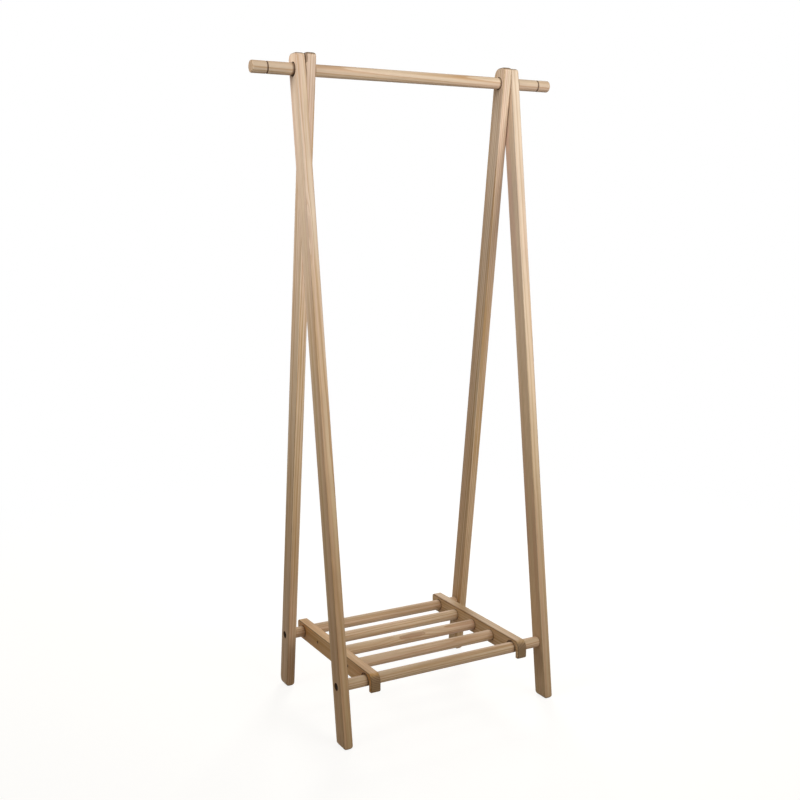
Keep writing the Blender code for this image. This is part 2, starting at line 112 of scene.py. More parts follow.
# Bolts and threaded inserts: a bolt's shank, crown and hexagon socket, and an insert's pocket with
# the hole for the bolt's tip behind it
BOLT_SHANK, BOLT_CROWN = 0.003, 0.0011
SOCKET_RADIUS, SOCKET_DEPTH, SOCKET_TAPER = 0.0024, 0.0015, 0.94
INSERT_RADIUS, INSERT_LENGTH, BOLT_HOLE_DEPTH, POCKET_CHAMFER = 0.005, 0.014, 0.024, 0.0002

# Shares of a head's or shank's radius, and of a crown's height, that shape crown, edge, thread
# and tip
CROWN_FLAT, CROWN_SHOULDER, CROWN_DROP, HEAD_EDGE = 0.62, 0.86, 0.35, 0.1
THREAD_START, THREAD_PITCH, THREAD_ROOT = 1.5, 0.4, 0.84
TIP_LENGTH, TIP_SHOULDER, TIP_END = 0.7, 0.9, 0.4

# A cross recess: its depth as a share of the head, the other slot's share of that depth, and its
# reach, width and taper as shares of the head's radius and of the reach
RECESS_DEPTH, SECOND_SLOT, RECESS_REACH, RECESS_WIDTH, RECESS_TAPER = 0.62, 0.97, 0.62, 0.13, 0.7

# Weight of the painted shade inside holes, and half width and weight of the painted shade where a
# dowel enters wood
BORE_SHADE = 0.85
ENTRY_SHADE = (0.002, 0.5)


def linear(red, green, blue):
    """A colour written in the usual 0 to 255 steps, as the light values that shaders take."""
    values = []
    for step in (red, green, blue):
        share = step / 255
        values.append(share / 12.92 if share <= 0.04045 else ((share + 0.055) / 1.055) ** 2.4)
    return (*values, 1.0)


def axis_of(node):
    """Middle of a round node that lies along X, its half length and its radius."""
    low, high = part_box(node)
    return (low + high) / 2, (high.x - low.x) / 2, (high.z - low.z) / 2


# Sizes and finishes that a user may change


def length_prop(name, description, default):
    return FloatProperty(name=name, description=description, default=default, unit="LENGTH")


def angle_prop(name, description, degrees):
    default = math.radians(degrees)
    return FloatProperty(name=name, description=description, default=default, subtype="ANGLE")


def power_prop(name, description, default):
    return FloatProperty(name=name, description=description, default=default, unit="POWER")


def number_prop(name, description, default):
    return FloatProperty(name=name, description=description, default=default)


def count_prop(name, description, default, least):
    return IntProperty(name=name, description=description, default=default, min=least)


def colour_prop(name, description, default):
    return FloatVectorProperty(
        name=name, description=description, default=default, size=len(default), subtype="COLOR"
    )


class RackShape(bpy.types.PropertyGroup):
    """Roundings, fits and turned details of the rack's pieces."""

    leg_width: length_prop("Leg width", "Leg seen from the side", 0.043)
    leg_arris: length_prop("Leg arris", "Rounding of a leg's long edges", 0.003)
    leg_top: length_prop("Leg tops", "Rounding over of a leg's top", 0.005)
    leg_foot: length_prop("Leg feet", "Rounding over of a leg's sole", 0.0095)
    front_toe: length_prop("Front toe", "Front corner of a front foot", 0.007)
    front_heel: length_prop("Front heel", "Rear corner of a front foot", 0.011)
    front_back: length_prop("Front back", "Rear corner of a front leg's top", 0.018)
    front_brow: length_prop("Front brow", "Front corner of a front leg's top", 0.010)
    rear_toe: length_prop("Rear toe", "Front corner of a rear foot", 0.006)
    rear_heel: length_prop("Rear heel", "Rear corner of a rear foot", 0.020)
    rear_back: length_prop("Rear back", "Rear corner of a rear leg's top", 0.024)
    rear_brow: length_prop("Rear brow", "Front corner of a rear leg's top", 0.010)
    rail_end: length_prop("Rail ends", "Rounding of the rail's ends", 0.003)
    groove_inset: length_prop("Groove inset", "Groove's distance from the rail's end", 0.037)
    groove_width: length_prop("Groove width", "Width of the turned groove", 0.0035)
    groove_depth: length_prop("Groove depth", "Depth of the turned groove", 0.0015)
    rail_fit: length_prop("Rail fit", "Space round the rail in the rear legs", 0.0003)
    rail_swing: length_prop("Rail swing", "Space round the rail in the front legs", 0.00125)
    hole_chamfer: length_prop("Hole chamfer", "Chamfer round a rail hole", 0.0009)
    mouth_chamfer: length_prop("Mouth chamfer", "Broken edge of the small holes", 0.0004)
    dowel_chamfer: length_prop("Dowel chamfer", "Chamfer on dowel ends", 0.0006)
    bolt_recess: length_prop("Bolt recess", "Radius of the sinking for a bolt's head", 0.0089)
    bolt_head: length_prop("Bolt head", "Height of a bolt's head", 0.0025)
    shelf_arris: length_prop("Shelf arris", "Rounding of a shelf side's edges", 0.0025)
    hook_play: length_prop("Hook play", "How much wider the slot's arc is than the bar", 0.006)
    hook_seat: angle_prop("Hook seat", "Direction of the play, below level", 45)
    hook_flare: angle_prop("Hook flare", "Slope of the slot's rear wall", 20.3)
    hook_brow: length_prop("Hook brow", "Upper front corner of a shelf side", 0.0195)
    hook_nose: length_prop("Hook nose", "Lower front corner of a shelf side", 0.006)
    hook_lip: length_prop("Hook lips", "Corners of the slot's mouth", 0.003)
    shelf_tail_top: length_prop("Tail top", "Upper rear corner of a shelf side", 0.007)
    shelf_tail_foot: length_prop("Tail foot", "Lower rear corner of a shelf side", 0.003)
    pivot_space: length_prop("Pivot space", "Space round the shelf's pivot bar", 0.0005)
    seat_gap: length_prop("Seat gap", "Space between two pieces that touch", 0.0003)
    dowel_sides: count_prop("Dowel sides", "Steps round a dowel", 96, 32)
    metal_sides: count_prop("Metal sides", "Steps round a bolt or screw", 48, 16)
    arris_steps: count_prop("Arris steps", "Steps across a rounded edge", 5, 2)
    corner_steps: count_prop("Corner steps", "Steps along a rounded corner", 14, 4)


class RackFinish(bpy.types.PropertyGroup):
    """Colours and surface of the wood and the metal."""

    pale_wood: colour_prop("Pale wood", "Early wood of a ring", linear(227, 201, 173))
    late_wood: colour_prop("Late wood", "Late wood of a ring", linear(184, 136, 90))
    blush_wood: colour_prop("Blush", "Pinkish streaks", linear(217, 177, 155))
    honey_wood: colour_prop("Honey", "Yellowish streaks", linear(203, 159, 103))
    end_wood: colour_prop("End grain", "Sawn ends of the wood", linear(164, 132, 98))
    end_rings: colour_prop("End rings", "Year rings on a sawn end", linear(98, 74, 54))
    # Painted shade on the legs, growing toward each foot; an even deeper honey tone on the other
    # pieces
    ripe_and_shade_wood: colour_prop(
        "Ripe wood and leg shade", "Tint of the deeper, honey-coloured wood, and of the painted shade toward a leg's foot", (0.88, 0.785, 0.60, 1.0)
    )
    knot_wood: colour_prop("Knot", "Heart of a knot", linear(138, 78, 44))
    # Darker wood along the rounded edges
    arris_wood: colour_prop("Arris", "Darker wood along the rounded edges", linear(106, 86, 64))
    # Dark wood painted as shade inside holes, on their rims, in grooves and where pieces meet; it
    # also browns the rail's ends
    painted_shade_wood: colour_prop("Bores", "Painted shade in holes, grooves and joints, and the browner rail ends", linear(82, 52, 30))
    ring_width: length_prop("Ring width", "One year's growth", 0.0052)
    ring_wander: length_prop("Ring wander", "How far the rings stray", 0.006)
    grain_depth: length_prop("Grain depth", "Relief of the fibres and rings", 0.0004)
    scuff_height: length_prop("Scuff height", "How far up a foot is scuffed", 0.045)
    turning_depth: length_prop("Turning marks", "Relief of the marks on steel", 0.00008)
    bolt_steel: colour_prop("Bolts", "Blackened bolt steel", linear(30, 27, 26))
    screw_steel: colour_prop("Screws", "Blackened screw steel", linear(36, 31, 28))
    rail_screw_steel: colour_prop("Rail screws", "Zinc plated steel", linear(176, 174, 168))
    insert_metal: colour_prop("Inserts", "Threaded inserts", linear(186, 160, 104))


class RackStage(bpy.types.PropertyGroup):
    """Camera, lamps and floor."""

    camera_place: FloatVectorProperty(
        name="Camera place", description="Where the camera stands", subtype="TRANSLATION",
        default=(-1.3374, -2.3639, 1.2297), unit="LENGTH",
    )
    camera_yaw: angle_prop("Camera yaw", "Turn to the right of +Y", 28.922)
    camera_pitch: angle_prop("Camera pitch", "Tilt down from level", 11.146)
    camera_roll: angle_prop("Camera roll", "Turn about the line of sight", -0.122)
    lens: FloatProperty(
        name="Lens", description="Focal length on a 36 mm sensor", default=48.88,
        subtype="DISTANCE_CAMERA",
    )
    shift_x: number_prop("Shift across", "Sideways shift of the picture", 0.00103)
    shift_y: number_prop("Shift up", "Upward shift of the picture", 0.04425)
    left_power: power_prop("Left light", "Softbox far out at the left, on the upper part", 5.8)
    front_power: power_prop("Front light", "Softbox in front, at the height of the rail", 15.2)
    rear_power: power_prop("Rear light", "Softbox behind the rack, at the right", 36.0)
    left_spread: angle_prop("Left grid", "Angle of the left softbox's grid", 82)
    front_spread: angle_prop("Front grid", "Angle of the front softbox's grid", 75)
    rear_spread: angle_prop("Rear grid", "Angle of the rear softbox, which has no grid", 180)
    lamp_colour: colour_prop("Lamp colour", "Light of the softboxes", (0.89, 0.95, 1.0))
    room_colour: colour_prop("Room colour", "Light from all round", (0.98, 0.95, 0.87, 1.0))
    sky_strength: number_prop("Room light", "Strength of the light from all round", 0.29)
    floor_colour: colour_prop("Floor", "Pale studio floor", linear(150, 144, 134))
    floor_speckle: colour_prop("Floor speckle", "Paler specks of the floor", linear(154, 149, 140))
    floor_radius: length_prop("Floor radius", "Radius of the floor", 14.0)
    floor_glow: number_prop(
        "Floor tone", "How far the floor is lifted to the white of the backdrop", 0.85
    )


def shape():
    return bpy.context.scene.rack_shape


def colours():
    return bpy.context.scene.rack_finish


# Solids


def new_piece(name, bm):
    """Turn a bmesh into an object in the scene."""
    bmesh.ops.recalc_face_normals(bm, faces=bm.faces)
    mesh = bpy.data.meshes.new(name)
    bm.to_mesh(mesh)
    bm.free()
    piece = bpy.data.objects.new(name, mesh)
    bpy.context.scene.collection.objects.link(piece)
    return piece


def turned(name, profile, sides, matrix=None):
    """Round solid about the X axis from (x, radius) points, moved by a matrix.

    Its first row of points stands a quarter of a step round, so that the corners of a hole never
    lie on the edges of the end that it is cut into.
    """
    bm = bmesh.new()
    turn = math.tau / sides / 4
    across, up = math.sin(turn), math.cos(turn)
    chain = [bm.verts.new((x, radius * across, radius * up)) for x, radius in profile]
    edges = [bm.edges.new(pair) for pair in zip(chain, chain[1:])]
    bmesh.ops.spin(
        bm, geom=chain + edges, axis=(1, 0, 0), cent=(0, 0, 0), angle=math.tau, steps=sides,
        use_merge=True,
    )
    bmesh.ops.remove_doubles(bm, verts=bm.verts, dist=WELD)
    if matrix is not None:
        bmesh.ops.transform(bm, matrix=matrix, verts=bm.verts)
    return new_piece(name, bm)


def lofted(name, rings):
    """Solid through closed rings of points, with a flat face on the first and the last."""
    bm = bmesh.new()
    loops = [[bm.verts.new(point) for point in ring] for ring in rings]
    for lower, upper in zip(loops, loops[1:]):
        for index in range(len(lower)):
            bm.faces.new((lower[index - 1], lower[index], upper[index], upper[index - 1]))
    bm.faces.new(loops[0])
    bm.faces.new(loops[-1])
    return new_piece(name, bm)


def carve(piece, cutters):
    """Cut solids out of a piece, and take the cutters away."""
    for cutter in cutters:
        modifier = piece.modifiers.new(cutter.name, "BOOLEAN")
        modifier.operation = "DIFFERENCE"
        modifier.solver = "EXACT"
        modifier.object = cutter
    graph = bpy.context.evaluated_depsgraph_get()
    carved = bpy.data.meshes.new_from_object(piece.evaluated_get(graph))
    piece.modifiers.clear()
    blank = piece.data
    piece.data = carved
    bpy.data.meshes.remove(blank)
    for cutter in cutters:
        bpy.data.objects.remove(cutter, do_unlink=True)
    if not carved.polygons:
        raise RuntimeError(piece.name + " lost its faces while its holes were cut")


def finish_piece(piece, cutters, matrix, node, material):
    """Cut a piece's holes, smooth its rounded edges and let it stand for its CAD node.

    The matrix gives the piece its own axes, with X along the grain.
    """
    carve(piece, cutters)
    piece.data.transform(matrix.inverted())
    piece.matrix_world = matrix
    piece.data.shade_smooth()
    piece.data.set_sharp_from_angle(angle=SMOOTH_ANGLE)
    piece.modifiers.new("even faces", "WEIGHTED_NORMAL").keep_sharp = True
    piece.data.materials.clear()
    piece.data.materials.append(material)
    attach(piece, frame["nodes"][node]["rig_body"])
    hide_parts(node)
    check_size(piece, node)


def check_size(piece, node):
    """A piece fills its node's box."""
    low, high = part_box(node)
    corners = [piece.matrix_world @ vertex.co for vertex in piece.data.vertices]
    for axis in range(3):
        reach = [corner[axis] for corner in corners]
        if max(abs(min(reach) - low[axis]), abs(max(reach) - high[axis])) > MOST_MISS:
            raise RuntimeError(f"{piece.name} doesn't fill {node} along axis {axis}")


def arc(centre, radius, start, end, steps):
    """Points of an arc in a plane."""
    points = []
    for step in range(steps + 1):
        angle = start + (end - start) * step / steps
        x = centre[0] + radius * math.cos(angle)
        points.append((x, centre[1] + radius * math.sin(angle)))
    return points


def fillet(before, corner, after, radius, steps):
    """Points of the arc that rounds one corner of an outline."""
    to_before = (before - corner).normalized()
    to_after = (after - corner).normalized()
    half_angle = to_before.angle(to_after) / 2
    centre = corner + (to_before + to_after).normalized() * radius / math.sin(half_angle)
    start = corner + to_before * radius / math.tan(half_angle) - centre
    end = corner + to_after * radius / math.tan(half_angle) - centre
    sweep = -start.angle_signed(end)
    across = Vector((-start.y, start.x))
    points = []
    for step in range(steps + 1):
        angle = sweep * step / steps
        points.append(centre + start * math.cos(angle) + across * math.sin(angle))
    return points


# Profiles for turning


def both_ways(half):
    """A profile that is the same on both sides of X = 0, from its right half."""
    return [(-x, radius) for x, radius in reversed(half)]


def dowel_profile(half_length, radius):
    """Dowel centred on the origin, with softened ends and stations along its length."""
    chamfer = shape().dowel_chamfer
    end = [(half_length - chamfer, radius), (half_length, radius - chamfer), (half_length, 0)]
    inner = range(1 - DOWEL_STATIONS, DOWEL_STATIONS)
    return both_ways(end) + [(half_length * k / DOWEL_STATIONS, radius) for k in inner] + end


def rail_profile(half_length, radius):
    """Top rail: rounded ends and a narrow groove turned near each of them."""
    sizes = shape()
    rounding = (half_length - sizes.rail_end, radius - sizes.rail_end)
    end = arc(rounding, sizes.rail_end, math.pi / 2, 0, RAIL_END_STEPS)
    middle = half_length - sizes.groove_inset
    half = sizes.groove_width / 2
    lip = half / 4
    groove = [
        (middle - half - lip, radius),
        (middle - half, radius - lip / 2),
        (middle - half / 2, radius - sizes.groove_depth),
        (middle + half / 2, radius - sizes.groove_depth),
        (middle + half, radius - lip / 2),
        (middle + half + lip, radius),
    ]
    stations = [(half_length * k / RAIL_STATIONS, radius) for k in range(1, RAIL_STATIONS)]
    right = stations + groove + end + [(half_length, 0)]
    return both_ways(right) + [(0, radius)] + right


def hole_profile(half_depth, radius, chamfer):
    """Hole right through a board, about the board's middle, with a chamfer at both mouths."""
    past = half_depth + OVERRUN
    half = [(half_depth - chamfer, radius), (past, radius + chamfer + OVERRUN), (past, 0)]
    return both_ways(half) + half


def sinking_profile(mouth, floor, end, head_radius, shank_radius, chamfer):
    """Stepped hole from its mouth, by the floor under the head, to the end of the shank."""
    return [
        (mouth - OVERRUN, 0),
        (mouth - OVERRUN, head_radius + chamfer + OVERRUN),
        (mouth + chamfer, head_radius),
        (floor, head_radius),
        (floor, shank_radius),
        (end, shank_radius),
        (end, 0),
    ]


def threaded_profile(head, head_radius, radius, length, crown):
    """Bolt or screw with a crowned head at -X and a thread on its shank."""
    pitch = radius * THREAD_PITCH
    edge = head_radius * HEAD_EDGE
    points = [
        (-head, 0),
        (-head, head_radius * CROWN_FLAT),
        (-head + crown * CROWN_DROP, head_radius * CROWN_SHOULDER),
        (-head + crown, head_radius),
        (-edge, head_radius),
        (0, head_radius - edge),
        (0, radius),
    ]
    x = radius * THREAD_START
    while x < length - radius:
        points += [(x, radius), (x + pitch / 2, radius * THREAD_ROOT)]
        x += pitch
    tip = (length - radius * TIP_LENGTH, radius * TIP_SHOULDER)
    return points + [tip, (length, radius * TIP_END), (length, 0)]


# Legs


def leg_face(facing, corner, lean, radius, distance):
    """Y of a leg's front (-1) or rear (1) face, at a distance from an end that is rounded over."""
    if distance >= radius * (1 - facing * math.sin(lean)):
        return corner + distance * math.tan(lean)
    centre = corner + radius * math.tan(lean) - facing * radius / math.cos(lean)
    return centre + facing * math.sqrt(radius**2 - (radius - distance) ** 2)


def leg_end(end, inward, lean, thickness, over, front_radius, rear_radius):
    """Level sections of one end of a leg, rounded over: height, half thickness, front and rear."""
    sizes = shape()
    half_depth = sizes.leg_width / 2 / math.cos(lean)
    middle = end * math.tan(lean)
    rounded = max(front_radius, rear_radius) * (1 + math.sin(abs(lean)))
    sections = []
    for step in range(sizes.corner_steps + 1):
        distance = rounded * (1 - math.cos(math.pi / 2 * step / sizes.corner_steps))
        rise = max(0, over - distance)
        half = thickness / 2 - over + math.sqrt(over**2 - rise**2)
        front = leg_face(-1, middle - half_depth, lean * inward, front_radius, distance)
        rear = leg_face(1, middle + half_depth, lean * inward, rear_radius, distance)
        sections.append((end + inward * distance, half, front, rear))
    return sections


def section_ring(place, section):
    """Points of one level section of a leg: a rectangle with rounded corners."""
    sizes = shape()
    height, half, front, rear = section
    arris = sizes.leg_arris
    ring = []
    for quarter, (x_side, y_side) in enumerate(((1, 1), (-1, 1), (-1, -1), (1, -1))):
        edge = rear if y_side > 0 else front
        centre = (x_side * (half - arris), edge - y_side * arris)
        start = math.pi / 2 * quarter
        for x, y in arc(centre, arris, start, start + math.pi / 2, sizes.arris_steps):
            ring.append(place + Vector((x, y, height)))
    return ring


def planed_leg(name, place, lean, thickness, above, below, radii):
    """Leg about the rail's axis, from its level sole to its level top, all edges rounded."""
    sizes = shape()
    toe, heel, back, brow = radii
    sections = leg_end(-below, 1, lean, thickness, sizes.leg_foot, toe, heel)
    sections += leg_end(above, -1, lean, thickness, sizes.leg_top, brow, back)[::-1]
    return lofted(name, [section_ring(place, section) for section in sections])


def leg_lean(pair):
    """Lean of a pair of legs: the slope of Y against height."""
    rail = axis_of("top_rail")[0]
    bar = axis_of(pair + "_crossbar")[0]
    return math.atan((rail.y - bar.y) / (rail.z - bar.z))


def rail_hole_radius(pair):
    """Fitting hole in the rear legs, and a freer one in the front legs, which swing."""
    space = shape().rail_fit if pair == "rear" else shape().rail_swing
    return axis_of("top_rail")[2] + space


def leg_bores(pair, side, sign, place, middle, thickness):
    """Cutters of the rail hole, the bolt's sinking and, in a rear leg, the rail screw's hole."""
    sizes = shape()
    profile = hole_profile(thickness / 2, rail_hole_radius(pair), sizes.hole_chamfer)
    cutters = [turned("rail hole", profile, sizes.dowel_sides, Matrix.Translation(place))]
    seat = head_seat(f"{pair}_bolt_{side}", sizes.bolt_head)
    profile = sinking_profile(
        seat - middle - thickness / 2, sizes.seat_gap, thickness, sizes.bolt_recess,
        BOLT_SHANK + sizes.seat_gap, sizes.mouth_chamfer,
    )
    bar = axis_of(pair + "_crossbar")[0]
    matrix = toward_middle(sign, Vector((sign * seat, bar.y, bar.z)))
    cutters.append(turned("bolt sinking", profile, sizes.metal_sides, matrix))
    if pair == "rear":
        cutters.append(rail_screw_sinking(side))
    return cutters


# Shelf


def shelf_outline():
    """Side view of a shelf side: (y, z) points, with the hook's slot open below."""
    sizes = shape()
    low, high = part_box("shelf_side_left")
    bar, _, bar_radius = axis_of("front_crossbar")
    slot_radius = bar_radius + sizes.hook_play
    offset = sizes.hook_play - sizes.seat_gap
    slot_y = bar.y + offset * math.cos(sizes.hook_seat)
    slot_z = bar.z - offset * math.sin(sizes.hook_seat)
    flare = sizes.hook_flare
    front_wall = slot_y - slot_radius
    apex = slot_z + slot_radius * (1 + math.cos(flare)) / math.sin(flare)
    rear_wall = front_wall + (apex - low.z) * math.tan(flare)
    corners = [
        (low.y, low.z, sizes.hook_nose, NOSE_STEPS),
        (front_wall, low.z, sizes.hook_lip, LIP_STEPS),
        (front_wall, apex, slot_radius, SLOT_STEPS),
        (rear_wall, low.z, sizes.hook_lip, LIP_STEPS),
        (high.y, low.z, sizes.shelf_tail_foot, LIP_STEPS),
        (high.y, high.z, sizes.shelf_tail_top, NOSE_STEPS),
        (low.y, high.z, sizes.hook_brow, BROW_STEPS),
    ]
    places = [Vector((y, z)) for y, z, _, _ in corners]
    outline = []
    for index, (_, _, radius, steps) in enumerate(corners):
        after = places[(index + 1) % len(places)]
        outline += fillet(places[index - 1], places[index], after, radius, steps)
    return outline


def sawn_board(name, outline, start, end):
    """Board between two planes on X, with its outline's edges rounded."""
    sizes = shape()
    bm = bmesh.new()
    near = bm.faces.new([bm.verts.new((start, point.x, point.y)) for point in outline])
    extruded = bmesh.ops.extrude_face_region(bm, geom=[near])["geom"]
    moved = [item for item in extruded if isinstance(item, bmesh.types.BMVert)]
    bmesh.ops.translate(bm, verts=moved, vec=(end - start, 0, 0))
    bmesh.ops.recalc_face_normals(bm, faces=bm.faces)
    broad = [face for face in bm.faces if len(face.verts) > 4]
    edges = {edge for face in broad for edge in face.edges}
    bmesh.ops.bevel(
        bm, geom=list(edges), offset=sizes.shelf_arris, segments=sizes.arris_steps, profile=0.5,
        affect="EDGES",
    )
    return new_piece(name, bm)


def shelf_side_bores(side, sign, inner, outer):
    """Cutters of the pivot hole, the slat sockets and the screw holes of a shelf side."""
    sizes = shape()
    gap, chamfer = sizes.seat_gap, sizes.mouth_chamfer
    pivot, _, radius = axis_of("rear_crossbar")
    thickness = outer - inner
    profile = hole_profile(thickness / 2, radius + sizes.pivot_space, chamfer)
    matrix = Matrix.Translation((sign * (inner + outer) / 2, pivot.y, pivot.z))
    cutters = [turned("pivot hole", profile, sizes.dowel_sides, matrix)]
    for slat in SLATS:
        place, reach, radius = axis_of("slat_" + slat)
        profile = hole_profile(reach + gap - inner, radius + gap, chamfer)
        matrix = Matrix.Translation((sign * inner, place.y, place.z))
        cutters.append(turned("slat socket", profile, sizes.dowel_sides, matrix))
        seat = head_seat(f"slat_screw_{slat}_{side}", SLAT_SCREW.head)
        profile = sinking_profile(
            seat - outer, gap, thickness, SLAT_SCREW.sinking, SLAT_SCREW.hole, chamfer
        )
        matrix = toward_middle(sign, Vector((sign * seat, place.y, place.z)))
        cutters.append(turned("screw sinking", profile, sizes.metal_sides, matrix))
    return cutters


# Fastenings


def toward_middle(side_sign, place):
    """Frame of a bolt or screw that points from one side toward the middle of the rack."""
    return Matrix.Translation(place) @ Matrix.Rotation(math.pi * (side_sign > 0), 4, "Z")


def head_seat(name, head):
    """How far from the rack's middle the underside of a bolt's or screw's head lies."""
    low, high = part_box(name)
    return max(abs(low.x), abs(high.x)) - head


def fastening_frame(name, sign, head):
    """Frame of a bolt or a slat's screw: its origin under the head, and X along the shank."""
    centre, half_length, _ = axis_of(name)
    seat = abs(centre.x) + half_length - head
    return toward_middle(sign, Vector((sign * seat, centre.y, centre.z)))


def rail_screw_frame(side):
    """Frame of a rail screw: its origin under the head, and X along it toward the rail."""
    low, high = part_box("rail_screw_" + side)
    rail = axis_of("top_rail")[0]
    middle = Vector(((low.x + high.x) / 2, rail.y, rail.z))
    lean = leg_lean("rear")
    outward = Vector((0, math.cos(lean), -math.sin(lean)))
    depth = shape().leg_width / 2 - RAIL_SCREW.head - shape().seat_gap
    right = Vector((1, 0, 0))
    axes = Matrix((-outward, right, (-outward).cross(right))).transposed()
    return Matrix.Translation(middle + outward * depth) @ axes.to_4x4()


def rail_screw_sinking(side):
    """Stepped hole through a rear leg and into the rail."""
    sizes = shape()
    profile = sinking_profile(
        -RAIL_SCREW.head - sizes.seat_gap, sizes.seat_gap, RAIL_SCREW_HOLE_DEPTH,
        RAIL_SCREW.sinking, RAIL_SCREW.hole, sizes.mouth_chamfer,
    )
    return turned("screw sinking", profile, sizes.metal_sides, rail_screw_frame(side))


def cross_recess(matrix, head, head_radius):
    """Two tapered slots that cross in a screw's head, one a little less deep than the other."""
    cutters = []
    depth = head * RECESS_DEPTH
    reach, width = head_radius * RECESS_REACH, head_radius * RECESS_WIDTH
    for turn, floor in ((0, depth), (math.pi / 2, depth * SECOND_SLOT)):
        rings = []
        mouth = 1 + RECESS_TAPER * OVERRUN / floor
        for x, share in ((-head - OVERRUN, mouth), (-head + floor, 1 - RECESS_TAPER)):
            corners = ((-1, -1), (1, -1), (1, 1), (-1, 1))
            rings.append([Vector((x, u * reach * share, v * width)) for u, v in corners])
        slot = lofted("cross recess", rings)
        slot.data.transform(matrix @ Matrix.Rotation(turn, 4, "X"))
        cutters.append(slot)
    return cutters


# Shader node helpers


def feed(socket, value):
    """Link a socket to what feeds it, or set its own value."""
    if isinstance(value, bpy.types.NodeSocket):
        socket.id_data.links.new(value, socket)
    else:
        socket.default_value = value


def node(tree, kind, feeds=None, **settings):
    made = tree.nodes.new("ShaderNode" + kind)
    for name, value in settings.items():
        setattr(made, name, value)
    for key, value in (feeds or {}).items():
        feed(made.inputs[key], value)
    return made


def calc(tree, operation, *values, clamp=False):
    feeds = dict(enumerate(values))
    return node(tree, "Math", feeds, operation=operation, use_clamp=clamp).outputs[0]


def plus(tree, first, second):
    return calc(tree, "ADD", first, second)


def minus(tree, first, second):
    return calc(tree, "SUBTRACT", first, second)


def times(tree, first, second):
    return calc(tree, "MULTIPLY", first, second)


def place_calc(tree, operation, *values):
    return node(tree, "VectorMath", dict(enumerate(values)), operation=operation).outputs[0]


def scaled(tree, vector, factor):
    feeds = {0: vector, "Scale": factor}
    return node(tree, "VectorMath", feeds, operation="SCALE").outputs[0]


def length_of(tree, vector):
    return node(tree, "VectorMath", {0: vector}, operation="LENGTH").outputs["Value"]


def parts_of(tree, vector):
    return node(tree, "SeparateXYZ", {0: vector}).outputs


def slant(tree, part):
    """Most where the normal's part along an axis is well away from none and from all of it."""
    square = times(tree, part, part)
    return times(tree, square, minus(tree, 1.0, square))


def span(tree, value, low, high, to_low=0.0, to_high=1.0):
    """Smooth step of a value from one span to another."""
    feeds = {
        "Value": value, "From Min": low, "From Max": high, "To Min": to_low, "To Max": to_high
    }
    return node(tree, "MapRange", feeds, interpolation_type="SMOOTHSTEP").outputs["Result"]


def blend(tree, factor, first, second, kind="MIX"):
    feeds = {0: factor, 6: first, 7: second}
    return node(tree, "Mix", feeds, data_type="RGBA", blend_type=kind).outputs[2]


def noise(tree, place, waves, detail=2.0, roughness=0.5):
    """Noise about 0.5, with so many waves to a metre: one number, or one for each axis."""
    if isinstance(waves, tuple):
        place, waves = place_calc(tree, "MULTIPLY", place, waves), 1.0
    feeds = {"Vector": place, "Scale": waves, "Detail": detail, "Roughness": roughness}
    return node(tree, "TexNoise", feeds).outputs[0]


def start_group(name, inputs, outputs):
    """A new node group with named sockets; returns its tree, what comes in and what goes out."""
    tree = bpy.data.node_groups.new(name, "ShaderNodeTree")
    for way, sockets in (("INPUT", inputs), ("OUTPUT", outputs)):
        for label, kind in sockets.items():
            tree.interface.new_socket(label, in_out=way, socket_type="NodeSocket" + kind)
    given, out = tree.nodes.new("NodeGroupInput"), tree.nodes.new("NodeGroupOutput")
    return tree, given.outputs, out.inputs


def use_group(tree, name, feeds):
    made = tree.nodes.new("ShaderNodeGroup")
    made.node_tree = bpy.data.node_groups[name]
    for key, value in feeds.items():
        feed(made.inputs[key], value)
    return made.outputs


# Effects shared by the materials

# Waves to a metre of each noise, along the grain, across it and through it, or all round
DRIFT_WAVES = (2.2, 16, 16)
RIPPLE_WAVES = (9, 70, 70)
KNOT_WAVES = (40, 160, 160)
SCUFF_WAVES = (60, 90, 90)
BLOTCH_WAVES = 420.0
MARK_WAVES = 5200.0
SPECKLE_WAVES = 35.0

# Shift, waves, detail and roughness of each noise along the fibres
FIBRE_NOISES = {
    "Streak": ((0, 0, 0), (2.2, 115, 115), 3.0, 0.6),
    "Blush": ((3.7, 1.3, 0.4), (1.6, 48, 48), 2.0, 0.5),
    "Fibre": ((0, 0, 0), (34, 1500, 1500), 2.0, 0.7),
    "Mottle": ((0, 0, 0), (9, 34, 34), 3.0, 0.6),
}

# Depth of the rings' small ripples, where late wood rises and falls within a year's growth, and
# how slowly it sets in
RIPPLE_DEPTH = 0.0012
LATE_RISE, LATE_FALL, LATE_POWER = (0.30, 0.93), (0.94, 1.0, 1.0, 0.0), 1.6

# Distances from a knot's centre, in shares of its spread, between which each effect fades
KNOT_HEART, KNOT_RIM, KNOT_SWIRL, KNOT_RAGGED = (1.05, 0.75), (0.16, 0.0), (3.2, 0.6), 0.5

# Spans of the normal's parts for sawn ends, wood edges and steel edges
END_FACING, ARRIS_FACING, EDGE_FACING = (0.45, 0.88), (0.03, 0.22), (0.05, 0.24)

# Fading of the painted shade round a hole and past its depth, in metres, and of a band, in half
# widths
BORE_FADE, DEPTH_FADE, BAND_FADE = 0.0016, 0.0005, (1.5, 0.5)

# Where scuffs show in their noise, and between which shares of a leg its painted shade grows toward
# the foot
SCUFF_SPAN, LEG_SHADE_SPAN = (0.35, 0.7), (0.05, 0.75)


